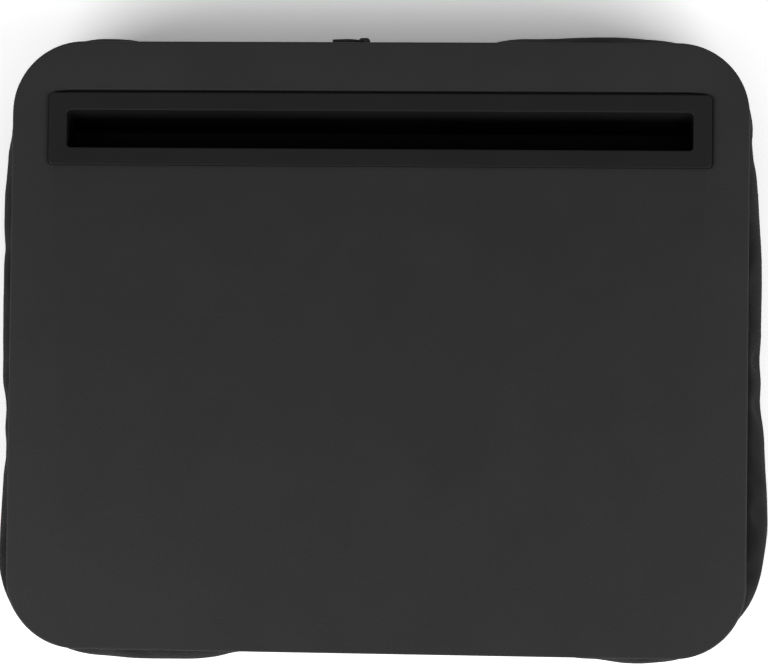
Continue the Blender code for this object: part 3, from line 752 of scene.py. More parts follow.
def slab_rings(
    low: Pair,
    high: Pair,
    corner: float,
    bottom: float,
    top: float,
    edge: float,
    counts: Counts = (6, 6, 4),
    steps: int = 3,
    hold: float = 1.3,
) -> Array:
    """Rings of a slab with rounded edges: quarter rounds below and above an upright side.

    Args:
        low: left front corner of its outline's box.
        high: right rear corner of that box.
        corner: corner radius seen from above.
        bottom: height of its underside.
        top: height of its top.
        edge: radius of its edges.
        counts: steps along x, along y and round a corner.
        steps: steps of each edge round.
        hold: place of the first and the last ring, in edge radii from the side.

    Returns:
        Rings by points by 3, from the underside to the top.
    """
    bend, flat = quarter_round(edge, steps), (edge * hold, edge)
    rows = [(inset, bottom + edge - rise) for inset, rise in [flat, *bend[::-1]]]
    rows += [(inset, top - edge + rise) for inset, rise in [*bend, flat]]
    return np.stack([lift(inset_loop(low, high, corner, inset, counts), z) for inset, z in rows])


def prism_rings(section: Sequence[Pair], stations: Sequence[float]) -> Array:
    """Rings of a straight bar along x at each station, from its outline in y and z."""
    outline = np.array(section)
    return np.stack([np.column_stack([np.full(len(outline), x), outline]) for x in stations])


@dataclass
class Trough:
    """The trough's section: upright in front and leaning back at the rear, open upwards."""

    front: float = 0.0991
    rear: float = 0.1181
    mouth: float = 0.0665
    floor: float = 0.0405
    length: float = 0.314
    wall: float = 0.0020
    corner: float = 0.0020

    def span(self, height: Array | float, spread: float) -> tuple[Array | float, Array | float]:
        """Front and rear of the section at a height, with its walls moved out by spread."""
        rear = self.rear + spread / math.cos(LEAN) - (self.mouth - height) * math.tan(LEAN)
        return self.front - spread, rear

    def ring(self, height: float, spread: float, inset: float, counts: Counts) -> Array:
        """Outline at one height.

        Args:
            height: its height.
            spread: how far the walls are moved out.
            inset: how far the outline is then drawn in.
            counts: steps along x, along y and round a corner.

        Returns:
            Points by 3.
        """
        front, rear = self.span(height, spread)
        half = self.length / 2 + spread - inset
        corner = max(self.corner + spread - inset, LEAST_CORNER)
        return lift(rounded_loop((-half, front + inset), (half, rear - inset), corner, counts), height)


@dataclass
class Tray:
    """Moulded panel with a turned-down rim, a recess and opening for the insert, and ribs below."""

    palette: Palette
    width: float = 0.370
    depth: float = 0.306
    corner: float = 0.036
    top: float = 0.0645
    underside: float = 0.0617
    rim_bottom: float = 0.0555
    rim_wall: float = 0.0024
    rim_round: float = 0.0003
    rim_fillet: tuple[Pair, ...] = ((0.0010, 0.0), (0.0004, 0.0002), (0.0, 0.0009))
    edge_round: float = 0.0008
    hold: float = 0.0004
    recess_floor: float = 0.0633
    seat: Triple = (0.33254, 0.03654, 0.00252)
    seat_middle: float = 0.1086
    seat_gap: float = 0.0011
    groove_depth: float = 0.0010
    groove_edge: float = 0.0002
    groove_inner: Pair = (-0.0003, -0.0005)
    gap_fade: Pair = (0.002, 0.010)
    lip_front: Pair = (0.00008, 0.00008)
    lip_sides: Pair = (0.0034, 0.0008)
    lip_rear: Pair = (0.0015, 0.0010)
    opening: Triple = (0.0967, 0.11957, 0.1594)
    opening_corner: float = 0.0006
    rib_half_length: float = 0.138
    rib_front: float = -0.106
    rib_rear: float = 0.0801
    rib_thickness: float = 0.0016
    long_ribs: int = 4
    cross_ribs: int = 6
    long_rib_height: float = 0.0022
    cross_rib_height: float = 0.0019
    rib_root: tuple[Pair, ...] = ((0.0008, 0.0004), (0.0005, -0.0001), (0.0001, -0.0006))
    rib_edge: tuple[Pair, ...] = ((-0.00005, 0.0003), (-0.0003, 0.0))
    rib_corner: float = 0.0003
    counts: Counts = (72, 60, 20)

    def outline(self, inset: float, height: float) -> Array:
        """Outline of the panel drawn in by inset, at a height."""
        return lift(centred_loop((self.width, self.depth), self.corner, inset, self.counts), height)

    def seat_rings(self) -> list[Array]:
        """Rings of the insert's recess, from the flat top over its lip and down its wall to its floor.

        The lip is a quarter ellipse that is wide at the sides and rear and next to nothing in front.
        Behind the insert a narrow groove stays open, which closes towards the corners.

        Returns:
            Rings from outside in.
        """
        *size, corner = self.seat
        loop = centred_loop(size, corner, 0.0, self.counts, self.seat_middle)
        out = loop_directions(self.counts)
        rear, sides = np.maximum(out[:, 1], 0.0), np.abs(out[:, 0])
        open_share = rear**4 * smooth_step(size[0] / 2 - np.abs(loop[:, 0]), *self.gap_fade)
        gap, floor = self.seat_gap * open_share, self.recess_floor - self.groove_depth * open_share
        front = np.array(self.lip_front)
        lip = front + np.outer(sides**2, self.lip_sides - front) + np.outer(rear**2, self.lip_rear - front)
        rings = [
            lift(loop + out * (gap + lip[:, 0] * inset)[:, None], self.top - lip[:, 1] * (1 - rise))
            for inset, rise in quarter_round(1.0, 7)[::-1]
        ]
        groove = [(gap, floor + self.groove_edge), (gap - self.groove_edge, floor)]
        groove += zip(self.groove_inner, (floor, self.recess_floor))
        return rings + [lift(loop + out * np.reshape(outset, (-1, 1)), height) for outset, height in groove]

    def opening_ring(self, height: float) -> Array:
        """Outline of the opening for the trough, at a height."""
        front, rear, half = self.opening
        return lift(rounded_loop((-half, front), (half, rear), self.opening_corner, self.counts), height)

    def panel_rings(self) -> Array:
        """Rings of the panel: up its rim, in over its top, down through the opening and out below.

        Returns:
            Rings by points by 3; the last one meets the first.
        """
        lip, inner = self.rim_round, self.rim_wall
        rings = [
            self.outline(inset, self.rim_bottom + lip - rise) for inset, rise in quarter_round(lip, 2)[::-1]
        ]
        rings += [
            self.outline(inset, self.top - self.edge_round + rise)
            for inset, rise in quarter_round(self.edge_round, 6)
        ]
        rings += [self.outline(self.edge_round + self.hold, self.top), *self.seat_rings()]
        rings += [self.opening_ring(self.recess_floor), self.opening_ring(self.underside)]
        rings += [self.outline(inner + out, self.underside - drop) for out, drop in self.rim_fillet]
        rings += [self.outline(inner, self.rim_bottom + lip), self.outline(inner - lip, self.rim_bottom)]
        return np.stack(rings)

    def rib_section(self, height: float) -> Array:
        """Half outline of a rib from its foot in the panel to its rounded lower edge.

        Args:
            height: how far the rib hangs below the panel.

        Returns:
            Points by 2, as y and z.
        """
        half = self.rib_thickness / 2
        root = [(half + out, self.underside + up) for out, up in self.rib_root]
        edge = [(half + out, self.underside - height + up) for out, up in self.rib_edge]
        return np.array(root + edge)

    def add_rib(
        self, shell: Shell, middle: float, first: float, last: float, height: float, along_x: bool
    ) -> None:
        """Adds one rib with a fillet at its root.

        Args:
            shell: the tray's shell.
            middle: its place across its length.
            first: where it starts.
            last: where it ends.
            height: how far it hangs below the panel.
            along_x: it runs along x, or else along y.
        """
        rings = []
        for half, z in self.rib_section(height)[::-1]:
            spare = half - self.rib_thickness / 2
            low, high = (first - spare, middle - half), (last + spare, middle + half)
            if not along_x:
                low, high = low[::-1], high[::-1]
            rings.append(lift(rounded_loop(low, high, self.rib_corner, (1, 1, 2)), z))
        shell.tube(np.stack(rings))

    def build(self) -> None:
        """Makes the tray."""
        shell = Shell()
        shell.grid(self.panel_rings(), closed=True)
        for y in np.linspace(self.rib_front, self.rib_rear, self.long_ribs):
            reach = self.rib_half_length
            self.add_rib(shell, float(y), -reach, reach, self.long_rib_height, True)
        for share in (2 * np.arange(self.cross_ribs) + 1) / self.cross_ribs - 1:
            x = float(share) * self.rib_half_length
            self.add_rib(shell, x, self.rib_front, self.rib_rear, self.cross_rib_height, False)
        tray = shell.build("tray_moulding", self.palette.tray)
        place_piece(tray, Body.TRAY, "charcoal_plastic", "tray_panel")


@dataclass
class TabletInsert:
    """Raised frame round the trough, and the trough below it, with catches that snap under the tray."""

    palette: Palette
    trough: Trough
    tray: Tray
    width: float = 0.3325
    depth: float = 0.0365
    corner: float = 0.0025
    bottom: float = 0.0636
    edge_round: float = 0.0005
    mouth_round: float = 0.0005
    floor_round: float = 0.0015
    catch_length: float = 0.012
    catch_reach: float = 0.0012
    catch_height: float = 0.0024
    catch_spacing: float = 0.120
    catch_gap: float = 0.0003
    hold: float = 0.0004
    root: Pair = (0.0003, 0.0006)
    frame_edge: float = 0.0002
    flat: float = 0.0003
    counts: Counts = (90, 12, 8)

    def bezel_ring(self, inset: float, height: float) -> Array:
        """Outline of the frame drawn in by inset, at a height."""
        size, middle = (self.width, self.depth), self.tray.seat_middle
        return lift(centred_loop(size, self.corner, inset, self.counts, middle), height)

    def rings(self) -> Array:
        """Rings from under the trough, up its outside, over the frame and down to the trough's floor.

        Returns:
            Rings by points by 3.
        """
        slot, counts, edge, mouth = self.trough, self.counts, self.edge_round, self.mouth_round
        bend = [*quarter_round(self.floor_round, 4), (self.floor_round + self.hold, self.floor_round)]
        below, out, drop = slot.floor - slot.wall + self.floor_round, *self.root
        rings = [slot.ring(below - rise, slot.wall, inset, counts) for inset, rise in bend[::-1]]
        rings += [
            slot.ring(self.bottom - drop, slot.wall, 0.0, counts),
            slot.ring(self.bottom, slot.wall + out, 0.0, counts),
            self.bezel_ring(self.frame_edge, self.bottom),
            self.bezel_ring(0.0, self.bottom + self.frame_edge),
        ]
        rings += [self.bezel_ring(inset, slot.mouth - edge + rise) for inset, rise in quarter_round(edge, 4)]
        rings.append(self.bezel_ring(edge + self.flat, slot.mouth))
        rings.append(slot.ring(slot.mouth, 0.0, -mouth - self.flat, counts))
        rings += [
            slot.ring(slot.mouth - mouth + rise, 0.0, -outset, counts)
            for outset, rise in quarter_round(mouth, 5)[::-1]
        ]
        rings.append(slot.ring(slot.mouth - mouth - self.hold, 0.0, 0.0, counts))
        rings += [slot.ring(slot.floor + self.floor_round - rise, 0.0, inset, counts) for inset, rise in bend]
        return np.stack(rings)

    def catch_sections(self) -> tuple[list[Pair], list[Pair]]:
        """Outlines of the two kinds of catch, which run counterclockwise as seen from +x.

        Returns:
            The front catch's and the rear catch's outline, as y and z.
        """
        top = self.tray.underside - self.catch_gap
        low = top - self.catch_height
        front_wall, rear_top = self.trough.span(top, self.trough.wall / 2)
        rear_low = self.trough.span(low, self.trough.wall / 2)[1]
        front, rear, _ = self.tray.opening
        front_catch = [(front_wall, low), (front_wall, top), (front - self.catch_reach, top)]
        rear_catch = [(rear_low, low), (rear + self.catch_reach, top), (rear_top, top)]
        return front_catch, rear_catch

    def build(self) -> None:
        """Makes the insert."""
        shell, half = Shell(), self.catch_length / 2
        shell.tube(self.rings())
        for section in self.catch_sections():
            for number in (-1, 0, 1):
                middle = number * self.catch_spacing
                shell.tube(prism_rings(section, (middle - half, middle + half)))
        frame = shell.build("tablet_slot_frame", self.palette.insert)
        place_piece(frame, Body.TRAY, "dark_plastic", "slot_insert")


@dataclass
class CushionForm:
    """The filled cushion's outer form.

    Seen from above its widest line is a rounded rectangle that swells and draws in along its sides. Its
    side is half an ellipse above the widest height and half of another below it: at a turn t the side
    stands -draw_in * (1 - cos t) out from the widest line, at widest + rise * sin t. The swells hold
    places along each side and how far the widest line stands out there, in millimetres.
    """

    width: float = 0.388
    depth: float = 0.320
    corner: float = 0.052
    height: float = 0.058
    widest: float = 0.032
    top_draw_in: float = 0.024
    base_draw_in: float = 0.020
    top_seam: float = math.radians(52)
    base_seam: float = math.radians(-80)
    fullness: float = 1.4
    blur: float = 0.0045
    counts: Counts = (124, 96, 30)
    rear_swell: tuple[Pair, ...] = (
        (142, -1.9), (134, -1.1), (126, -0.3), (111, 0.0), (96, -0.2), (81, -0.6), (65, -1.0), (56, -2.2),
        (44, -6.0), (-114, -6.0), (-122, -2.8), (-130, -1.7), (-142, -1.5),
    )
    left_swell: tuple[Pair, ...] = (
        (106, -1.6), (90, -0.3), (70, 0.6), (43, 0.2), (20, 0.6), (0, 0.6), (-19, 0.2), (-34, -0.7),
        (-57, -0.8), (-80, -0.2), (-100, 0.7), (-108, 0.5),
    )
    front_swell: tuple[Pair, ...] = (
        (-158, -1.4), (-142, -0.6), (-117, 0.8), (-100, 0.4), (-88, -0.2), (-80, -1.0), (-71, -2.4),
        (-62, -3.8), (-50, -4.8), (88, -4.6), (104, -3.4), (112, -2.8), (120, -2.0), (128, -1.4),
        (135, -1.3), (142, -2.1),
    )
    right_swell: tuple[Pair, ...] = (
        (-106, 1.9), (-98, 3.1), (-86, 4.0), (-68, 3.4), (-52, 2.6), (-37, 1.5), (-22, 0.7), (0, 0.2),
        (24, 0.3), (47, -0.2), (62, -0.9), (77, -1.6), (93, -3.1), (108, -4.4),
    )
    corner_swell: tuple[float, ...] = (-3.5, -2.2, 1.4, -3.4)

    def loop(self, inset: float) -> Array:
        """Plain rounded rectangle drawn in by inset, as points by 2."""
        return centred_loop((self.width, self.depth), self.corner, inset, self.counts)

    def swell(self) -> Array:
        """How far the widest line stands out from the plain rounded rectangle, at each column.

        Returns:
            One value for each point of the loop.
        """
        run_x, run_y = self.width / 2 - self.corner, self.depth / 2 - self.corner
        bend = self.corner * QUARTER
        starts = np.cumsum([bend, 2 * run_x + bend, 2 * run_y + bend, 2 * run_x + bend])
        sides = [
            (self.rear_swell, starts[0], run_x, -1),
            (self.left_swell, starts[1], run_y, -1),
            (self.front_swell, starts[2], run_x, 1),
            (self.right_swell, starts[3], run_y, 1),
        ]
        places, values = [], []
        for (stations, start, run, way), corner in zip(sides, self.corner_swell, strict=True):
            places += [start - bend / 2, *(start + run + way * at / 1000 for at, _ in stations)]
            values += [corner / 1000, *(out / 1000 for _, out in stations)]
        around = arc_lengths(self.loop(0.0))
        rounded = np.interp(around[:-1], places, values, period=around[-1])
        return smooth_round(rounded, self.blur * len(rounded) / around[-1])

    def profile(self, turn: Array) -> tuple[Array, Array, Array, Array]:
        """Outset, height, and the outward and upward parts of the outward direction at each turn.

        Args:
            turn: turns from -90 degrees at the base to 90 degrees on top.

        Returns:
            Four arrays shaped as turn.
        """
        upper = turn > 0
        draw_in = np.where(upper, self.top_draw_in, self.base_draw_in)
        rise = np.where(upper, self.height - self.widest, self.widest)
        out, up = rise * np.cos(turn), draw_in * np.sin(turn)
        length = np.hypot(out, up)
        return -draw_in * (1 - np.cos(turn)), self.widest + rise * np.sin(turn), out / length, up / length

    def side(self, turn: Array, stand_off: Array) -> Array:
        """The cushion's side as a grid: rows at the turns and columns round it.

        Args:
            turn: turn of each row.
            stand_off: rows by columns, how far each point stands off along the outward direction.

        Returns:
            Rows by columns by 3.
        """
        outset, height, out, up = (part[:, None] for part in self.profile(turn))
        full = np.clip(np.cos(turn), 0.0, 1.0)[:, None] ** self.fullness
        reach = outset + self.swell()[None] * full + out * stand_off
        outward = loop_directions(self.counts)
        plane = self.loop(0.0)[None] + outward[None] * reach[..., None]
        level = np.broadcast_to(height + up * stand_off, reach.shape)
        return np.concatenate([plane, level[..., None]], axis=2)


@dataclass
class StripPlan:
    """Where the hook-and-loop strips lie, seen from above: half width, half depth and middle of each."""

    places: dict[str, tuple[float, float, float, float]] = field(
        default_factory=lambda: {
            "rear": (0.120, 0.005, 0.0, 0.1295),
            "front": (0.120, 0.010, 0.0, -0.1240),
            "left": (0.010, 0.080, -0.157, -0.010),
            "right": (0.010, 0.080, 0.157, -0.010),
        }
    )

    def under(self, x: Array, y: Array, margin: float) -> Array:
        """1 under a strip, falling to 0 over the margin round it.

        Args:
            x: places across.
            y: places along.
            margin: width of the fall.

        Returns:
            Array shaped as x.
        """
        cover = np.zeros(x.shape)
        for half_x, half_y, middle_x, middle_y in self.places.values():
            past_x = np.maximum(np.abs(x - middle_x) - half_x, 0.0)
            past_y = np.maximum(np.abs(y - middle_y) - half_y, 0.0)
            cover = np.maximum(cover, 1 - smooth_step(np.hypot(past_x, past_y), 0.0, margin))
        return cover


@dataclass
class Folds:
    """Folds that cloth takes on the cushion's side, found by swelling a coarse copy of it.

    The copy is a little slack and drawn in, its flat top and base are held, and pressure fills it. What
    stands above or below each row's own smooth run is kept as waves round the cushion and half sine
    waves up its side, so that it can be read at any place. The filling keeps the widest line taut.
    """

    form: CushionForm
    counts: Counts = (50, 38, 12)
    rows: int = 17
    start_inset: float = 0.004
    lid_rows: int = 7
    lid_shares: Pair = (0.12, 0.88)
    held_within: float = 0.0006
    slack: float = 0.06
    pressure: float = 4.0
    settings: dict[str, float] = field(
        default_factory=lambda: {
            "quality": 6,
            "mass": 0.25,
            "tension_stiffness": 12.0,
            "compression_stiffness": 12.0,
            "shear_stiffness": 4.0,
            "bending_stiffness": 0.35,
        }
    )
    most: float = 0.006
    frames: int = 20
    waves_up: int = 7
    waves_round: int = 90
    plain_waves: int = 6
    taut_band: Pair = (0.10, 0.85)
    taut_share: float = 0.16
    outward_share: float = 0.45
    waves: Array | None = None

    def settle(self) -> None:
        """Runs the cloth simulation and keeps its folds as waves."""
        form = replace(self.form, counts=self.counts)
        turn = np.linspace(-QUARTER, QUARTER, self.rows)
        start = form.side(turn, -self.start_inset * np.cos(turn)[:, None])
        middle = start[..., :2].mean(axis=(0, 1))
        shares = np.linspace(*self.lid_shares, self.lid_rows)[:, None, None]
        base = start[0][None] * shares + np.array([*middle, 0.0]) * (1 - shares)
        lid = start[-1][None] * shares[::-1] + np.array([*middle, form.height]) * (1 - shares[::-1])
        base[..., 2], lid[..., 2] = start[0, 0, 2], start[-1, 0, 2]
        shell = Shell()
        shell.tube(np.concatenate([base, start, lid]))
        copy = shell.build("Swelling_copy", bpy.data.materials.new("Swelling_copy"))
        first, count = base.shape[0] * start.shape[1], self.rows * start.shape[1]
        moved = self.swell_copy(copy, first, count).reshape(start.shape) - start
        moved = np.clip(moved, -self.most * 2, self.most * 2)
        _, _, out, up = form.profile(turn)
        sideways = (moved[..., :2] * loop_directions(self.counts)[None]).sum(axis=2)
        spectrum = np.fft.rfft(sideways * out[:, None] + moved[..., 2] * up[:, None], axis=1)
        spectrum[:, : self.plain_waves] = 0.0
        spectrum[:, self.waves_round :] = 0.0
        shapes = self.up_waves(np.linspace(0.0, 1.0, self.rows))
        self.waves = np.linalg.lstsq(shapes, spectrum, rcond=None)[0] * 2 / start.shape[1]

    def up_waves(self, share: Array) -> Array:
        """Half sine waves up the side, as rows at shares of the way up by waves."""
        return np.sin(np.pi * share[:, None] * np.arange(1, self.waves_up + 1)[None])

    def swell_copy(self, copy: Object, first: int, count: int) -> Array:
        """Swells the copy with Blender's cloth and removes it.

        Args:
            copy: the coarse closed copy.
            first: index of its side's first point.
            count: how many points its side has.

        Returns:
            Points by 3 of its side after the last frame.
        """
        places = np.empty(len(copy.data.vertices) * 3, dtype=np.float32)
        copy.data.vertices.foreach_get("co", places)
        z, near = places[2::3], self.held_within
        held = copy.vertex_groups.new(name="Held")
        flat = np.flatnonzero((z < near) | (z > self.form.height - near))
        held.add(flat.tolist(), 1.0, "REPLACE")
        cloth = copy.modifiers.new("Cloth", "CLOTH")
        cloth.settings.vertex_group_mass = "Held"
        for setting, value in self.settings.items():
            setattr(cloth.settings, setting, value)
        cloth.settings.shrink_min = -self.slack
        cloth.settings.use_pressure = True
        cloth.settings.uniform_pressure_force = self.pressure
        cloth.settings.effector_weights.gravity = 0.0
        cloth.collision_settings.use_collision = False
        cloth.point_cache.frame_start = 1
        cloth.point_cache.frame_end = self.frames
        scene = bpy.context.scene
        for frame in range(1, self.frames + 1):
            scene.frame_set(frame)
        shape = copy.evaluated_get(bpy.context.evaluated_depsgraph_get()).to_mesh()
        points = np.empty(len(shape.vertices) * 3, dtype=np.float32)
        shape.vertices.foreach_get("co", points)
        scene.frame_set(1)
        bpy.data.objects.remove(copy, do_unlink=True)
        return points.reshape(-1, 3)[first : first + count].astype(float)

    def height(self, turn: Array) -> Array:
        """Height of the folds on the side at each turn and column.

        Args:
            turn: turn of each row.

        Returns:
            Rows by columns; all nothing where no simulation has run.
        """
        around = arc_lengths(self.form.loop(0.0))
        if self.waves is None:
            return np.zeros((len(turn), len(around) - 1))
        place = math.tau * around[:-1] / around[-1]
        bands = np.exp(1j * np.arange(self.waves.shape[1])[:, None] * place[None])
        shapes = self.up_waves((turn + QUARTER) / math.pi)
        height = np.clip(np.real(shapes @ (self.waves @ bands)), -self.most, self.most)
        taut = 1 - smooth_step(np.abs(turn), *self.taut_band)[:, None]
        return np.where(height > 0, self.outward_share, 1.0) * height * (1 - (1 - self.taut_share) * taut)


@dataclass
class Skin:
    """One layer of the cushion, a given depth below the cover's face.

    The layer is the cushion's side with its seam grooves, gathers and folds, a flat base that rests on
    the floor, and a top that dips under the strips and sinks into a pocket round the trough.
    """

    form: CushionForm
    folds: Folds
    trough: Trough
    strips: StripPlan
    inset: float = 0.0
    seam_depth: float = 0.0012
    seam_reach: float = 0.0016
    gather: float = 0.0004
    gather_reach: float = 0.0055
    gather_turns: tuple[int, int] = (88, 148)
    gather_waves: int = 10
    ripple: float = 0.00020
    ripple_length: float = 0.045
    seam_room: float = 0.0042
    pocket_spread: float = 0.0030
    pocket_floor: float = 0.0375
    pocket_round: float = 0.0025
    pocket_foot: float = 0.003
    pocket_dip: float = 0.0005
    pocket_fade: float = 0.010
    zip_left: float = -0.111
    zip_right: float = 0.001
    zip_half: float = 0.010
    zip_fade: float = 0.007
    top_rise: float = 0.0007
    top_fade: Pair = (0.020, 0.015)
    top_length: float = 0.055
    strip_fade: float = 0.006
    lowest: float = -0.0012
    base_rise: float = 0.0010
    base_fade: float = 0.030
    base_length: float = 0.060

    def measure(self) -> tuple[Array, Array]:
        """Measures the way up the side.

        Returns:
            A fine row of turns, and the distance from the base's edge at each.
        """
        turn = np.linspace(-QUARTER, QUARTER, 3000)
        outset, height, _, _ = self.form.profile(turn)
        step = np.hypot(np.diff(outset), np.diff(height))
        return turn, np.concatenate([[0.0], np.cumsum(step)])

    def distance(self, turn: Array | float) -> Array:
        """Distance up the side at a turn."""
        return np.interp(turn, *self.measure())

    def turn_at(self, distance: Array) -> Array:
        """Turn at a distance up the side."""
        turn, along = self.measure()
        return np.interp(distance, along, turn)

    def gathers(self, seed: int) -> Array:
        """Gathers along a seam: waves of 9 to 15 mm that come and go round the cushion.

        Args:
            seed: seed of the waves.

        Returns:
            One value for each column.
        """
        around, count = arc_lengths(self.form.loop(0.0)), self.gather_waves
        place = math.tau * around[:-1] / around[-1]
        rng = np.random.default_rng(seed)
        turns, phase = rng.integers(*self.gather_turns, count), rng.uniform(0, math.tau, count)
        waves = np.sin(turns[:, None] * place + phase[:, None]).sum(axis=0) / math.sqrt(count)
        return waves * (0.65 + 0.35 * np.sin(7 * place + phase[0]))

    def stand_off(self, turn: Array) -> Array:
        """How far the side stands off its smooth form, at each turn and column.

        Each seam is a groove, -depth * exp(-(distance / reach)^2), and its gathers fade as
        exp(-distance / reach). The zip's field stays smooth.

        Args:
            turn: turn of each row.

        Returns:
            Rows by columns.
        """
        form = self.form
        along = self.distance(turn)[:, None]
        gaps = [np.abs(along - self.distance(seam)) for seam in (form.base_seam, form.top_seam)]
        around = arc_lengths(form.loop(0.0))[None, :-1]
        rise = self.folds.height(turn)
        ripple = soft_noise(around, along * 1.5, self.ripple_length, 5)
        rise = rise + self.ripple * ripple * np.cos(turn)[:, None]
        for seed, gap in enumerate(gaps):
            rise = rise + self.gather * self.gathers(seed + 1)[None] * np.exp(-gap / self.gather_reach)
        above = np.maximum(np.abs(form.profile(turn)[1][:, None] - form.widest) - self.zip_half, 0.0)
        loop = form.loop(0.0)
        outside = np.maximum(np.maximum(self.zip_left - loop[:, 0], loop[:, 0] - self.zip_right), 0.0)
        outside = np.where(loop[:, 1] > 0, outside, 1.0)[None]
        rise = rise * smooth_step(np.hypot(outside, above), 0.0, self.zip_fade)
        for gap in gaps:
            rise = rise - self.seam_depth * np.exp(-((gap / self.seam_reach) ** 2))
            if self.inset:
                rise = rise - self.seam_room * np.exp(-((gap / self.seam_room) ** 2))
        return rise - self.inset

    def side(self, turn: Array, tuck_first: float = 0.0, tuck_last: float = 0.0) -> tuple[Array, Array]:
        """The side between two turns, with its edges turned in at the seams.

        Args:
            turn: turn of each row.
            tuck_first: how far the first row's edge is turned in; none where it is 0.
            tuck_last: how far the last row's edge is turned in; none where it is 0.

        Returns:
            Rows by columns by 3, and the distance up the side at each row.
        """
        rise = self.stand_off(turn)
        along = self.distance(turn)
        if tuck_first:
            turn = np.concatenate([turn[:1], turn])
            rise = np.concatenate([rise[:1] - tuck_first, rise])
            along = np.concatenate([along[:1] - tuck_first, along])
        if tuck_last:
            turn = np.concatenate([turn, turn[-1:]])
            rise = np.concatenate([rise, rise[-1:] - tuck_last])
            along = np.concatenate([along, along[-1:] + tuck_last])
        rings = self.form.side(turn, rise)
        rings[..., 2] = np.maximum(rings[..., 2], 0.0)
        return rings, along

    def pocket_ring(self, height: float, spread: float, inset: float = 0.0) -> Array:
        """Outline of the pocket round the trough at a height."""
        wall = self.pocket_spread + self.inset + spread
        return self.trough.ring(height, wall, inset, self.form.counts)

    def top(self, rows: int = 26) -> tuple[Array, Array]:
        """The top from its edge to the pocket, and the pocket down to its floor.

        Args:
            rows: rows between the edge and the pocket.

        Returns:
            Rows by columns by 3, and the place on the flat cloth by 2.
        """
        form, bend = self.form, self.pocket_round
        level = form.height - self.inset
        edge = form.loop(form.top_draw_in)
        mouth = self.pocket_ring(level, bend)[:, :2]
        share = np.linspace(0.0, 1.0, rows)[1:, None, None]
        plane = edge[None] * (1 - share) + mouth[None] * share
        x, y = plane[..., 0], plane[..., 1]
        to_pocket = np.linalg.norm(plane - mouth[None], axis=2)
        to_edge = np.linalg.norm(plane - edge[None], axis=2)
        fade_in, fade_out = self.top_fade
        free = smooth_step(to_pocket, 0.0, fade_in) * smooth_step(to_edge, 0.0, fade_out)
        puff = self.top_rise * (0.35 + 0.65 * soft_noise(x, y, self.top_length, 11)) * free
        puff = puff * (1 - self.strips.under(x, y, self.strip_fade))
        puff = puff - self.pocket_dip * (1 - smooth_step(to_pocket, 0.0, self.pocket_fade))
        puff = np.clip(puff, self.lowest, self.top_rise)
        flat = np.concatenate([plane, (level + puff)[..., None]], axis=2)
        brim = level + float(puff[-1].mean())
        walls = [(brim - drop, bend - out, 0.0) for drop, out in quarter_round(bend, 5)[1:]]
        foot, low = self.pocket_foot, self.pocket_floor - self.inset + self.pocket_foot
        walls += [(z, 0.0, 0.0) for z in np.linspace(walls[-1][0], low, 9)[1:]]
        walls += [(low - rise, 0.0, inset) for inset, rise in quarter_round(foot, 4)[1:]]
        rings = np.stack([self.pocket_ring(*wall) for wall in walls])
        path = np.concatenate([flat[-1:], rings])
        drop = np.cumsum(np.linalg.norm(np.diff(path, axis=0), axis=2), axis=0)[..., None]
        unfolded = mouth[None] - loop_directions(form.counts)[None] * drop
        return np.concatenate([flat, rings]), np.concatenate([plane, unfolded])

    def base(self, rows: int = 22) -> Array:
        """The base from its middle out to its edge, resting on the floor.

        Args:
            rows: rows between the middle and the edge.

        Returns:
            Rows by columns by 3.
        """
        edge = self.form.loop(self.form.base_draw_in)
        share = np.linspace(0.03, 1.0, rows)[:-1, None, None]
        plane = edge[None] * share
        away = np.linalg.norm(plane - edge[None], axis=2)
        uneven = soft_noise(plane[..., 0], plane[..., 1], self.base_length, 23)
        rise = np.maximum(self.base_rise * (1 + uneven) / 2, 0.0) * smooth_step(away, 0.0, self.base_fade)
        return np.concatenate([plane, (rise + self.inset)[..., None]], axis=2)


def seamwise(first: float, last: float, stops: Sequence[float] = ()) -> Array:
    """Distances between two seams, close together near each and exact at the stops.

    Args:
        first: distance of the first seam.
        last: distance of the last seam.
        stops: distances that a row must have.

    Returns:
        Rising distances.
    """
    turns = [first + NEAR_SEAM[-1], *stops, last - NEAR_SEAM[-1]]
    runs = [
        np.linspace(low, high, max(2, round((high - low) / SIDE_STEP) + 1))[:-1]
        for low, high in zip(turns, turns[1:])
    ]
    return np.concatenate([first + NEAR_SEAM[:-1], *runs, (last - NEAR_SEAM)[::-1]])


def wrapped(flat: Array) -> Array:
    """Places on the cloth with the first column repeated after the last."""
    return np.concatenate([flat, flat[:, :1]], axis=1)


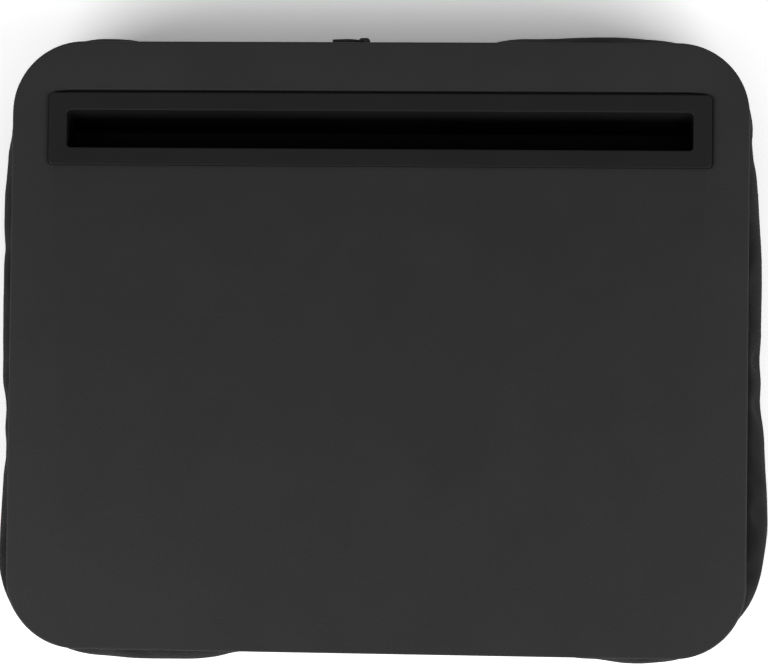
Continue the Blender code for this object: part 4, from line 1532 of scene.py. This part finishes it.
@dataclass
class Cover:
    """The zipped cover: a top with the trough's pocket, a boxing band round the side, and a base."""

    palette: Palette
    skin: Skin
    cloth: float = 0.0008
    fill: float = 0.7
    allowance: float = 0.0030
    seam_gap: float = 0.00015
    base_edge: float = 0.0030
    slit_left: float = -0.1055
    slit_right: float = -0.0045
    slit_half: float = 0.0043

    def top_panel(self) -> None:
        """Makes the top panel, from the top seam over the shoulder to the pocket's floor."""
        skin, form = self.skin, self.skin.form
        seam = float(skin.distance(form.top_seam)) + self.seam_gap
        whole = float(skin.distance(QUARTER))
        along = np.concatenate([seam + NEAR_SEAM[:-1], np.linspace(seam + NEAR_SEAM[-1], whole, 6)])
        shoulder, reach = skin.side(skin.turn_at(along), tuck_first=self.allowance)
        top, flat = skin.top()
        outward = loop_directions(form.counts)[None]
        unfolded = form.loop(form.top_draw_in)[None] + outward * (whole - reach)[:, None, None]
        shell = Shell()
        cloth = wrapped(np.concatenate([unfolded, flat]))
        shell.tube(np.concatenate([shoulder, top]), cloth, foot=False)
        self.finish_panel(shell, "cushion_cover_top", "cover_top_panel")

    def boxing(self) -> None:
        """Makes the boxing band, with the slit that the zip closes."""
        skin, form = self.skin, self.skin.form
        first = float(skin.distance(form.base_seam)) + self.seam_gap
        last = float(skin.distance(form.top_seam)) - self.seam_gap
        low = float(skin.distance(-math.asin(self.slit_half / form.widest)))
        high = float(skin.distance(math.asin(self.slit_half / (form.height - form.widest))))
        turn = skin.turn_at(seamwise(first, last, (low, high)))
        rings, along = skin.side(turn, self.allowance, self.allowance)
        centre = (along[1:] + along[:-1]) / 2
        x, y = rings[0, :, 0], rings[0, :, 1]
        left, right = np.minimum(x, np.roll(x, -1)), np.maximum(x, np.roll(x, -1))
        across = (right > self.slit_left) & (left < self.slit_right) & (y > 0)
        keep = ~(((centre > low) & (centre < high))[:, None] & across[None])
        flat = np.stack(np.meshgrid(arc_lengths(form.loop(0.0)), along), axis=-1)
        shell = Shell()
        shell.grid(rings, cloth=flat, keep=keep)
        self.finish_panel(shell, "cushion_cover_boxing", "cover_boxing")

    def base_panel(self) -> None:
        """Makes the base panel, from its middle out to the base seam."""
        skin, form = self.skin, self.skin.form
        seam = float(skin.distance(form.base_seam)) - self.seam_gap
        along = np.concatenate([[0.0], (seam - np.append(NEAR_SEAM[:6], self.base_edge))[::-1]])
        edge, reach = skin.side(skin.turn_at(along), tuck_last=self.allowance)
        base = skin.base()
        outward = loop_directions(form.counts)[None]
        unfolded = form.loop(form.base_draw_in)[None] + outward * reach[:, None, None]
        rings = np.concatenate([base, edge])
        rings[..., 2] -= rings[..., 2].min()
        shell = Shell()
        shell.tube(rings, wrapped(np.concatenate([base[..., :2], unfolded])), lid=False)
        self.finish_panel(shell, "cushion_cover_base", "cover_base_panel")

    def finish_panel(self, shell: Shell, name: str, node: str) -> None:
        """Gives a panel its thickness and its place on the cushion.

        Args:
            shell: its surface.
            name: its name.
            node: the node that it stands for.
        """
        panel = shell.build(name, self.palette.cover, SOFT_EDGE)
        thicken(panel, self.cloth)
        place_piece(panel, Body.CUSHION, "black_fabric", node)

    def build(self) -> None:
        """Makes the cover's three panels."""
        self.top_panel()
        self.boxing()
        self.base_panel()


@dataclass
class Filling:
    """The inner bag's two halves and the beads inside it."""

    palette: Palette
    bag: Skin
    beads: Skin
    bag_cloth: float = 0.0005
    fill: float = 0.6
    row_length: float = 0.0030
    seam_gap: float = 0.00015
    bag_seam: float = math.radians(45)

    def side_rows(self, skin: Skin, first: float, last: float) -> Array:
        """Rows of a layer's side between two distances, a few millimetres apart."""
        along = np.linspace(first, last, max(3, round((last - first) / self.row_length)))
        return skin.side(skin.turn_at(along))[0]

    def build(self) -> None:
        """Makes the bag's halves and the beads."""
        bag, beads, whole = self.bag, self.beads, float(self.bag.distance(QUARTER))
        seam = float(bag.distance(self.bag_seam))
        upper, lower, heap = Shell(), Shell(), Shell()
        rings = [self.side_rows(bag, seam + self.seam_gap, whole), bag.top()[0]]
        upper.tube(np.concatenate(rings), foot=False)
        rings = [bag.base(), self.side_rows(bag, 0.0, seam - self.seam_gap)]
        lower.tube(np.concatenate(rings), lid=False)
        heap.tube(np.concatenate([beads.base(), self.side_rows(beads, 0.0, whole), beads.top()[0]]))
        for shell, name, material, slot, node in (
            (upper, "inner_bag_upper", self.palette.liner, "liner_fabric", "liner_upper"),
            (lower, "inner_bag_lower", self.palette.liner, "liner_fabric", "liner_lower"),
            (heap, "bead_filling", self.palette.beads, "beads", "bead_fill"),
        ):
            piece = shell.build(name, material, SOFT_EDGE)
            if slot == "liner_fabric":
                thicken(piece, self.bag_cloth)
            place_piece(piece, Body.CUSHION, slot, node)


def fibre(
    path: Array, radius: Array | float, width: float = 1.0, closed: bool = False
) -> tuple[Array, Array]:
    """Small four-sided tube round a path in the xz plane.

    Its points are path + radius * (cos a * normal + width * sin a * y).

    Args:
        path: points by 3.
        radius: radius at each point, or at all of them.
        width: how much wider it is along y.
        closed: its end meets its start, or else both ends get a face.

    Returns:
        Points by 3, and faces by 4.
    """
    along = np.roll(path, -1, axis=0) - np.roll(path, 1, axis=0) if closed else np.gradient(path, axis=0)
    along /= np.linalg.norm(along, axis=1)[:, None]
    across = np.array([0.0, 1.0, 0.0])
    normal = np.cross(across, along)
    turn = math.tau * (np.arange(4) + 0.5) / 4
    ring = np.cos(turn)[None, :, None] * normal[:, None] + width * np.sin(turn)[None, :, None] * across
    points = path[:, None] + np.broadcast_to(radius, len(path))[:, None, None] * ring
    row, column = np.arange(len(path) if closed else len(path) - 1)[:, None], np.arange(4)[None]
    low, high, after = row * 4, (row + 1) % len(path) * 4, (column + 1) % 4
    faces = np.stack([low + column, low + after, high + after, high + column], axis=-1).reshape(-1, 4)
    if not closed:
        end = (len(path) - 1) * 4
        faces = np.concatenate([faces, [[3, 2, 1, 0], [end, end + 1, end + 2, end + 3]]])
    return points.reshape(-1, 3), faces


def turned_frames(turn: Array, flip: bool = False) -> Array:
    """Frames turned about z.

    Args:
        turn: turn of each copy.
        flip: the copies are turned upside down as well.

    Returns:
        Copies by 3 by 3.
    """
    cos, sin, zero = np.cos(turn), np.sin(turn), np.zeros_like(turn)
    way = np.full_like(turn, -1.0 if flip else 1.0)
    rows = [[cos, -way * sin, zero], [sin, way * cos, zero], [zero, zero, way]]
    return np.moveaxis(np.array(rows), 2, 0)


def stitch(length: float, thread: float) -> tuple[Array, Array]:
    """One lockstitch: a thread that rises from the cloth, lies on it and goes down again.

    Args:
        length: length of the stitch.
        thread: thickness of the thread.

    Returns:
        Points by 3, and faces by 4.
    """
    half = length / 2
    x = np.array([-half, -half * 0.86, -half * 0.45, half * 0.45, half * 0.86, half])
    z = np.array([-1.0, 0.35, 0.7, 0.7, 0.35, -1.0]) * thread
    radius = np.array([0.75, 0.95, 1.0, 1.0, 0.95, 0.75]) * thread / 2
    return fibre(np.column_stack([x, np.zeros_like(x), z]), radius)


def seam_places(loop: Array, pitch: float) -> tuple[Array, Array]:
    """Even places round a loop and the direction of the loop at each, as a turn about z.

    Args:
        loop: points by 2.
        pitch: distance between places.

    Returns:
        Places by 2, and their turns.
    """
    around = arc_lengths(loop)
    closed = np.concatenate([loop, loop[:1]])
    at = (np.arange(round(around[-1] / pitch)) + 0.5) * around[-1] / round(around[-1] / pitch)
    places = np.column_stack([np.interp(at, around, closed[:, k]) for k in (0, 1)])
    before = np.column_stack([np.interp(at - pitch / 4, around, closed[:, k]) for k in (0, 1)])
    step = places - before
    return places, np.arctan2(step[:, 1], step[:, 0])


@dataclass
class GripStrips:
    """Hook tapes stuck under the tray and loop tapes sewn on the cushion."""

    palette: Palette
    plan: StripPlan
    corner: float = 0.002
    loop_bottom: float = 0.0583
    hook_bottom: float = 0.0600
    thickness: float = 0.0014
    web: float = 0.0007
    edge: float = 0.0002
    margin: float = 0.0030
    hook_margin: float = 0.0012
    seam_inset: float = 0.0016
    seam_corner: float = 0.0006
    stitch_pitch: float = 0.0030
    stitch_size: Pair = (0.0023, 0.00034)
    pile_pitch: float = 0.0016
    pile_reach: float = 0.00042
    pile_fibre: float = 0.00008
    pile_root: float = 0.00005
    hook_pitch: float = 0.0017
    hook_bend: float = 0.00020
    hook_room: float = 0.00008
    hook_root: float = 0.00010
    hook_radii: tuple[float, ...] = (0.00013, 0.00009, 0.00008, 0.00006, 0.00004)
    uneven: float = 0.18

    def places(self, name: str, pitch: float, margin: float, seed: int) -> Array:
        """Rows of places on a strip, inside its margin and a little uneven, as places by 2.

        Args:
            name: the strip's name.
            pitch: distance between places.
            margin: bare edge of the strip.
            seed: seed of the unevenness.

        Returns:
            Places by 2.
        """
        half_x, half_y, middle_x, middle_y = self.plan.places[name]
        counts = [max(2, int(2 * (half - margin) / pitch)) for half in (half_x, half_y)]
        x = np.linspace(-half_x + margin, half_x - margin, counts[0])
        y = np.linspace(-half_y + margin, half_y - margin, counts[1])
        rows = np.stack(np.meshgrid(x, y), axis=-1).reshape(-1, 2)
        rng = np.random.default_rng(seed)
        shift = rng.uniform(-self.uneven, self.uneven, rows.shape) * pitch
        return rows + shift + [middle_x, middle_y]

    def web_rings(self, name: str, bottom: float) -> Array:
        """Rings of a strip's woven web.

        Args:
            name: the strip's name.
            bottom: height of its underside.

        Returns:
            Rings by points by 3.
        """
        half_x, half_y, x, y = self.plan.places[name]
        low, high = (x - half_x, y - half_y), (x + half_x, y + half_y)
        return slab_rings(low, high, self.corner, bottom, bottom + self.web, self.edge, (40, 40, 4), 2)

    def pile_loop(self) -> tuple[Array, Array]:
        """One loop of the soft side: an arch of fibre with its feet in the web.

        Returns:
            Points by 3, and faces by 4.
        """
        turn = np.linspace(0.0, math.pi, 6)
        rise = self.thickness - self.web - self.pile_fibre
        x, z = np.cos(turn) * self.pile_reach, np.sin(turn) * rise - self.pile_root
        return fibre(np.column_stack([x, np.zeros_like(x), z]), self.pile_fibre)

    def hook(self) -> tuple[Array, Array]:
        """One hook of the stiff side: a stem that bends over to a tapered tip.

        Returns:
            Points by 3, and faces by 4.
        """
        bend, top = self.hook_bend, self.thickness - self.web - self.hook_room
        turn = np.linspace(0.0, math.pi * 0.9, 4)
        x = np.append(0.0, bend * (1 - np.cos(turn)))
        z = np.append(-self.hook_root, top - bend + bend * np.sin(turn))
        return fibre(np.column_stack([x, np.zeros_like(x), z]), np.array(self.hook_radii))

    def loop_strip(self, name: str) -> None:
        """Makes a loop tape: its web with the loops on it, and the thread that sews it down.

        Args:
            name: the strip's name.
        """
        shell = Shell()
        shell.tube(self.web_rings(name, self.loop_bottom))
        spots = self.places(name, self.pile_pitch, self.margin, 31)
        turn = np.random.default_rng(32).uniform(0, math.tau, len(spots))
        top = self.loop_bottom + self.web
        shell.repeat(*self.pile_loop(), lift(spots, top), turned_frames(turn))
        tape = shell.build(f"loop_tape_{name}", self.palette.tape)
        place_piece(tape, Body.CUSHION, "black_tape", f"loop_strip_{name}")
        half_x, half_y, x, y = self.plan.places[name]
        half_x, half_y = half_x - self.seam_inset, half_y - self.seam_inset
        line = rounded_loop((x - half_x, y - half_y), (x + half_x, y + half_y), self.seam_corner, (60, 60, 4))
        seam, way = seam_places(line, self.stitch_pitch)
        sewing = Shell()
        sewing.repeat(*stitch(*self.stitch_size), lift(seam, top), turned_frames(way))
        thread = sewing.build(f"loop_tape_thread_{name}", self.palette.thread)
        place_piece(thread, Body.CUSHION, "black_tape")

    def hook_strip(self, name: str) -> None:
        """Makes a hook tape: its web against the tray and the hooks below it.

        Args:
            name: the strip's name.
        """
        shell = Shell()
        web_bottom = self.hook_bottom + self.thickness - self.web
        shell.tube(self.web_rings(name, web_bottom))
        spots = self.places(name, self.hook_pitch, self.hook_margin, 41)
        turn = np.where(np.arange(len(spots)) % 2 == 0, 0.0, math.pi)
        turn = turn + np.random.default_rng(42).uniform(-0.2, 0.2, len(spots))
        shell.repeat(*self.hook(), lift(spots, web_bottom), turned_frames(turn, flip=True))
        tape = shell.build(f"hook_tape_{name}", self.palette.tape)
        place_piece(tape, Body.TRAY, "black_tape", f"hook_strip_{name}")

    def build(self) -> None:
        """Makes all eight tapes."""
        for name in self.plan.places:
            self.loop_strip(name)
            self.hook_strip(name)


OUTWARD = np.array([[0.0, 0.0, 1.0], [1.0, 0.0, 0.0], [0.0, 1.0, 0.0]])


def facing_rear(rings: Array, middle: Pair) -> Array:
    """Rings drawn with z across, x along and y as their height, set round a middle in x and z.

    Args:
        rings: rings by points by 3, in that drawing.
        middle: x and z that the drawing's origin goes to.

    Returns:
        Rings by points by 3, in the stand's own directions.
    """
    return rings @ OUTWARD + np.array([middle[0], 0.0, middle[1]])


@dataclass
class Zip:
    """The zip in the rear boxing: tapes, coil rows, end stops, slider and pull."""

    palette: Palette
    form: CushionForm
    rear_pull: float = 0.006
    shut_x: float = -0.0050
    open_x: float = -0.1050
    tape_end: float = 0.0040
    tape_reach: float = 0.0090
    tape_gap: float = 0.00036
    tape_thickness: float = 0.0004
    clear: float = 0.0003
    sewing_rows: Pair = (0.0046, 0.0072)
    sewing_end: float = 0.003
    stitch_pitch: float = 0.0026
    stitch_size: Pair = (0.0020, 0.00030)
    teeth_inner: float = 0.1550
    teeth_outer: float = 0.1560
    teeth_reach: float = 0.0024
    tooth_pitch: float = 0.00125
    wire: float = 0.00022
    wire_width: float = 1.5
    wire_spare: float = 0.0002
    squareness: float = 0.08
    cord: float = 0.00026
    stop_gap: float = 0.0006
    stop_length: float = 0.0015
    stop_thickness: float = 0.0020
    stop_edge: float = 0.00035
    plate_inner: float = 0.1563
    plate_outer: float = 0.1570
    plate_round: Pair = (0.0014, 0.00022)
    back_inner: float = 0.15315
    back_outer: float = 0.15385
    back_round: Pair = (0.0012, 0.0002)
    back_spare: float = 0.00035
    post_x: Pair = (-0.0021, -0.0007)
    post_y: Pair = (0.1536, 0.1565)
    post_half: float = 0.0003
    post_edge: float = 0.0001
    slider_length: float = 0.0090
    slider_half: float = 0.0033
    slider_taper: float = 0.88
    flange: float = 0.0006
    flange_x: Pair = (0.0030, -0.0010)
    flange_y: Pair = (0.1551, 0.1566)
    flange_spare: Pair = (0.00002, 0.00012)
    flange_edge: float = 0.00015
    arch_half: float = 0.0032
    arch_outer: float = 0.15962
    arch_thickness: float = 0.0014
    arch_edge: float = 0.00018
    arch_face: float = 0.92
    arch_narrowing: float = 0.22
    arch_foot: float = 0.0003
    eye: float = 0.00066
    axis_y: float = 0.15801
    pull_length: float = 0.0170
    pull_half: float = 0.0024
    pull_thickness: float = 0.0008
    pull_corner: float = 0.0014
    pull_edge: float = 0.00025
    pull_hold: float = 1.6
    pull_bar: float = 0.0010
    grip_from: Pair = (0.0050, 0.0060)
    grip_fullness: float = 1.9
    grip_widest: float = 0.008
    grip_fall: float = 0.4
    window_length: float = 0.0038
    window_half: float = 0.0012
    window_corner: float = 0.0004
    window_lip: tuple[Pair, ...] = ((0.0003, 0.0), (0.0001, 0.00003), (0.0, 0.0002))
    ribs: int = 4
    rib_first: float = 0.0022
    rib_pitch: float = 0.0014
    rib_half: Pair = (0.00035, 0.0015)
    rib_rise: Pair = (0.00030, 0.00068)
    rib_edge: float = 0.00007

    def rear_line(self, z: Array, lift_off: float) -> tuple[Array, Array]:
        """Places that stand off the cushion's rear side.

        Args:
            z: their heights from its widest line.
            lift_off: how far they stand off.

        Returns:
            Their y and their z.
        """
        rise = np.where(z > 0, self.form.height - self.form.widest, self.form.widest)
        turn = np.arcsin(np.clip(z / rise, -1, 1))
        outset, height, out, up = self.form.profile(turn)
        pulled = self.form.depth / 2 + outset - self.rear_pull * np.cos(turn)
        return pulled + out * lift_off, height + up * lift_off

    def tape(self, side: int, name: str) -> None:
        """Makes one tape that follows the cushion's side, with its two rows of sewing.

        Args:
            side: 1 above the teeth and -1 below them.
            name: upper or lower.
        """
        reach = np.linspace(self.tape_gap, self.tape_reach, 12) * side
        inner = np.stack(self.rear_line(reach, self.clear), axis=1)
        outer = np.stack(self.rear_line(reach, self.clear + self.tape_thickness), axis=1)
        section = np.concatenate([inner, outer[::-1]])
        section = section if side < 0 else section[::-1]
        ends = (self.open_x - self.tape_end, self.shut_x + self.tape_end)
        shell = Shell((0, 2))
        shell.tube(prism_rings(section, np.linspace(*ends, 60)))
        web = shell.build(f"zip_web_{name}", self.palette.tape, SOFT_EDGE)
        place_piece(web, Body.CUSHION, "black_tape", f"zip_tape_{name}")
        sewing, rows = Shell((0, 2)), []
        for height in self.sewing_rows:
            y, z = self.rear_line(np.array([height * side]), self.clear + self.tape_thickness)
            x = np.arange(self.open_x - self.sewing_end, self.shut_x + self.sewing_end, self.stitch_pitch)
            rows.append(np.column_stack([x, np.full(len(x), y[0]), np.full(len(x), z[0])]))
        places = np.concatenate(rows)
        frame = np.array([[1.0, 0.0, 0.0], [0.0, 0.0, 1.0], [0.0, -1.0, 0.0]])
        frames = np.broadcast_to(frame, (len(places), 3, 3))
        sewing.repeat(*stitch(*self.stitch_size), places, frames)
        thread = sewing.build(f"zip_thread_{name}", self.palette.thread)
        place_piece(thread, Body.CUSHION, "black_tape")

    def coil(self, side: int, name: str) -> None:
        """Makes one row of coil teeth: loops of nylon side by side, heads towards the middle.

        Args:
            side: 1 for the upper row and -1 for the lower one.
            name: upper or lower.
        """
        head, tail = self.tape_gap, self.teeth_reach
        middle_y = (self.teeth_inner + self.teeth_outer) / 2
        turn = np.linspace(0.0, math.tau, 13)[:-1]
        span, deep = (tail - head) / 2 - self.wire_spare, (self.teeth_outer - self.teeth_inner) / 2
        path = np.column_stack([np.cos(turn) * span, np.zeros(12), np.sin(turn) * (deep - self.wire)])
        path = np.sign(path) * np.abs(path) ** (1 - self.squareness)
        path = path * np.array([span, 1.0, deep]) ** self.squareness
        shape, faces = fibre(path, self.wire, self.wire_width, closed=True)
        count = int((self.shut_x - self.open_x) / self.tooth_pitch)
        shift = 0.25 if side > 0 else 0.75
        x = self.open_x + (np.arange(count) + shift) * self.tooth_pitch
        z = self.form.widest + side * (head + tail) / 2
        places = np.column_stack([x, np.full(count, middle_y), np.full(count, z)])
        frame = np.array([[0.0, 1.0, 0.0], [0.0, 0.0, 1.0], [1.0, 0.0, 0.0]])
        shell = Shell((0, 2))
        shell.repeat(shape, faces, places, np.broadcast_to(frame, (count, 3, 3)))
        spine = np.column_stack([np.linspace(self.open_x, self.shut_x, 40), np.zeros(40), np.zeros(40)])
        points, quads = fibre(spine, self.cord)
        shell.add(points + [0.0, middle_y, z], quads)
        row = shell.build(f"zip_coil_{name}", self.palette.nylon)
        place_piece(row, Body.CUSHION, "zip_nylon", f"zip_teeth_{name}")

    def block(self, shell: Shell, x: Pair, y: Pair, z: Pair, edge: float) -> None:
        """Adds a block with rounded edges, with z measured from the zip's middle.

        Args:
            shell: shell that it goes into.
            x: its left and right.
            y: its inner and outer face.
            z: its lowest and highest place.
            edge: radius of its edges.
        """
        rings = slab_rings((z[0], x[0]), (z[1], x[1]), edge * 1.2, y[0], y[1], edge)
        shell.tube(facing_rear(rings, (0.0, self.form.widest)))

    def stops(self) -> None:
        """Makes the two top stops and the bottom stop."""
        inner, outer = self.teeth_inner, self.teeth_inner + self.stop_thickness
        right, left = self.shut_x + self.clear, self.open_x - self.clear
        reach, gap, length = self.teeth_reach, self.stop_gap, self.stop_length
        for name, x, z in (
            ("top_stop_upper", (right, right + length), (gap, reach)),
            ("top_stop_lower", (right, right + length), (-reach, -gap)),
            ("bottom_stop", (left - length, left), (-reach, reach)),
        ):
            shell = Shell((0, 2))
            self.block(shell, x, (inner, outer), z, self.stop_edge)
            clamp = shell.build(f"zip_clamp_{name}", self.palette.metal)
            place_piece(clamp, Body.CUSHION, "zip_metal", f"zip_{name}")

    def slider(self) -> None:
        """Makes the slider: two plates, side flanges, a post between the rows and an arch on top."""
        left, right = self.shut_x - self.slider_length, self.shut_x
        half, inner, shell = self.slider_half, self.slider_half - self.flange, Shell((0, 2))
        corner, edge = self.plate_round
        faces = (self.plate_inner, self.plate_outer)
        plate = slab_rings((-half, left), (half, right), corner, *faces, edge, (6, 10, 6))
        narrow = smooth_step(plate[..., 1], left, right)
        plate[..., 0] *= self.slider_taper + (1 - self.slider_taper) * narrow
        corner, edge = self.back_round
        near, far = (-inner, left + self.back_spare), (inner, right - self.back_spare)
        back = slab_rings(near, far, corner, self.back_inner, self.back_outer, edge)
        for rings in (plate, back):
            shell.tube(facing_rear(rings, (0.0, self.form.widest)))
        post = (right + self.post_x[0], right + self.post_x[1])
        self.block(shell, post, self.post_y, (-self.post_half, self.post_half), self.post_edge)
        ends = (left + self.flange_x[0], right + self.flange_x[1])
        for side in (1, -1):
            low, high = sorted((side * (inner + self.flange_spare[0]), side * (half - self.flange_spare[1])))
            self.block(shell, ends, self.flange_y, (low, high), self.flange_edge)
        shell.grid(self.arch_rings((left + right) / 2), closed=True)
        body = shell.build("zip_slider_body", self.palette.metal)
        place_piece(body, Body.SLIDER, "zip_metal", "zip_slider")

    def arch_rings(self, centre: float) -> Array:
        """Rings of the cast arch, a low bridge with a round eye for the pull's bar.

        Args:
            centre: its middle along the zip.

        Returns:
            Rings by points by 3; the last one meets the first.
        """
        turn = math.tau * np.arange(48) / 48
        middle = (self.arch_outer + self.plate_outer - self.arch_foot) / 2
        high = self.arch_outer - middle
        swung = np.stack([np.cos(turn), np.sin(turn)], axis=1)
        bridge = np.sign(swung) * np.abs(swung) ** 0.5 * [self.arch_half, high]
        bridge[:, 0] *= 1.0 - self.arch_narrowing * smooth_step(bridge[:, 1], -high, high)
        face = bridge * self.arch_face + [0.0, middle]
        bridge += [0.0, middle]
        eye = swung * self.eye + [0.0, self.axis_y]
        half = self.arch_thickness / 2
        rows = [(eye, -half), (face, -half), (bridge, -half + self.arch_edge)]
        rows += [(shape, -height) for shape, height in rows[::-1]]
        return np.stack([lift(shape, height) for shape, height in rows]) + [centre, 0.0, self.form.widest]

    def pull(self) -> None:
        """Makes the pull: a flat tab with a window behind its bar and a ribbed grip at its end."""
        centre = self.shut_x - self.slider_length / 2
        near, far = self.pull_bar / 2, self.pull_bar / 2 - self.pull_length
        half, edge, counts = self.pull_thickness / 2, self.pull_edge, (8, 16, 5)
        low, high = (-self.pull_half, far), (self.pull_half, near)
        outer = slab_rings(low, high, self.pull_corner, -half, half, edge, counts, 3, self.pull_hold)
        low, high = (-self.window_half, -near - self.window_length), (self.window_half, -near)
        window = [
            lift(inset_loop(low, high, self.window_corner, -outset, counts), half - drop)
            for outset, drop in self.window_lip
        ]
        window += [ring * [1.0, 1.0, -1.0] for ring in window[::-1]]
        rings = np.stack([*outer, *window])
        away = -rings[..., 1]
        fall = self.grip_fall * smooth_step(away, self.grip_widest, -far)
        full = smooth_step(away, *self.grip_from) * (1 - fall)
        rings[..., 2] *= 1 + (self.grip_fullness - 1) * full
        rings[..., 2] += self.axis_y
        shell = Shell((0, 2))
        shell.grid(facing_rear(rings, (centre, self.form.widest)), closed=True)
        half_x, half_z = self.rib_half
        for face in (-1, 1):
            y = tuple(sorted(self.axis_y + face * rise for rise in self.rib_rise))
            for number in range(self.ribs):
                x = centre + far + self.rib_first + number * self.rib_pitch
                self.block(shell, (x - half_x, x + half_x), y, (-half_z, half_z), self.rib_edge)
        tab = shell.build("zip_pull_tab", self.palette.metal)
        place_piece(tab, Body.PULL, "zip_metal", "zip_pull")

    def build(self) -> None:
        """Makes every piece of the zip."""
        for side, name in ((1, "upper"), (-1, "lower")):
            self.tape(side, name)
            self.coil(side, name)
        self.stops()
        self.slider()
        self.pull()


@dataclass
class Studio:
    """Pale floor, a softbox on each side in front, and the camera above the stand."""

    floor_size: float = 9.0
    floor_gap: float = 0.0002
    floor_colour: Triple = (0.93, 0.93, 0.93)
    floor_seen: Triple = (1.60, 1.60, 1.60)
    box_places: tuple[Triple, ...] = ((-1.15, -0.80, 1.15), (1.15, -0.80, 1.15))
    box_powers: Pair = (16.5, 18.5)
    box_size: float = 1.3
    fill: float = 0.36
    camera_place: Triple = (0.07902, -0.02189, 1.3)
    camera_turn: Triple = (1.39499, 3.44753, 0.67236)
    lens: float = 116.148

    def floor(self) -> None:
        """Lays the floor just under the stand."""
        half = self.floor_size / 2
        mesh = bpy.data.meshes.new("Floor")
        corners = [(x * half, y * half, -self.floor_gap) for x, y in ((-1, -1), (1, -1), (1, 1), (-1, 1))]
        mesh.from_pydata(corners, [], [(0, 1, 2, 3)])
        dye = Dye("Pale_floor", self.floor_colour, 0.9, 0.1)
        seen = dye.node("ShaderNodeLightPath").outputs["Is Camera Ray"]
        dye.paint(dye.blend(seen, self.floor_colour, self.floor_seen))
        mesh.materials.append(dye.material)
        floor = bpy.data.objects.new("Floor", mesh)
        bpy.context.scene.collection.objects.link(floor)

    def lights(self) -> None:
        """Hangs the two softboxes and sets the even light of the room."""
        names = ("Softbox_left", "Softbox_right")
        for name, place, power in zip(names, self.box_places, self.box_powers, strict=True):
            lamp = bpy.data.lights.new(name, "AREA")
            lamp.size = self.box_size
            lamp.energy = power
            box = bpy.data.objects.new(name, lamp)
            box.location = place
            box.rotation_euler = (-Vector(place)).to_track_quat("-Z", "Y").to_euler()
            bpy.context.scene.collection.objects.link(box)
        world = bpy.data.worlds.new("Room")
        world.use_nodes = True
        nodes, links = world.node_tree.nodes, world.node_tree.links
        sky = nodes["Background"]
        sky.inputs["Color"].default_value = (1.0, 1.0, 1.0, 1.0)
        rays = nodes.new("ShaderNodeLightPath")
        seen = nodes.new("ShaderNodeMapRange")
        seen.inputs["To Min"].default_value = self.fill
        seen.inputs["To Max"].default_value = 1.0
        links.new(rays.outputs["Is Camera Ray"], seen.inputs["Value"])
        links.new(seen.outputs["Result"], sky.inputs["Strength"])
        bpy.context.scene.world = world

    def camera(self) -> None:
        """Sets the camera straight above the stand, as the photograph was taken."""
        data = bpy.data.cameras.new("View")
        data.sensor_width = 36.0
        data.lens = self.lens
        data.clip_end = 30.0
        eye = bpy.data.objects.new("View", data)
        eye.location = self.camera_place
        eye.rotation_euler = [math.radians(part) for part in self.camera_turn]
        bpy.context.scene.collection.objects.link(eye)
        bpy.context.scene.camera = eye

    def build(self) -> None:
        """Sets up the floor, the light and the camera."""
        self.floor()
        self.lights()
        self.camera()
        bpy.context.scene.view_settings.view_transform = "Standard"


def main() -> None:
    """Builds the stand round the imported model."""
    logging.basicConfig(level=logging.INFO, format="%(message)s")
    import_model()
    palette = make_palette()
    trough, form, plan, tray = Trough(), CushionForm(), StripPlan(), Tray(palette)
    folds = Folds(form)
    folds.settle()
    tray.build()
    TabletInsert(palette, trough, tray).build()
    cover, bag, beads = (Skin(form, folds, trough, plan, depth) for depth in LAYER_DEPTHS)
    Cover(palette, cover).build()
    Filling(palette, bag, beads).build()
    GripStrips(palette, plan).build()
    Zip(palette, form).build()
    Studio().build()


if __name__ == "__main__":
    main()
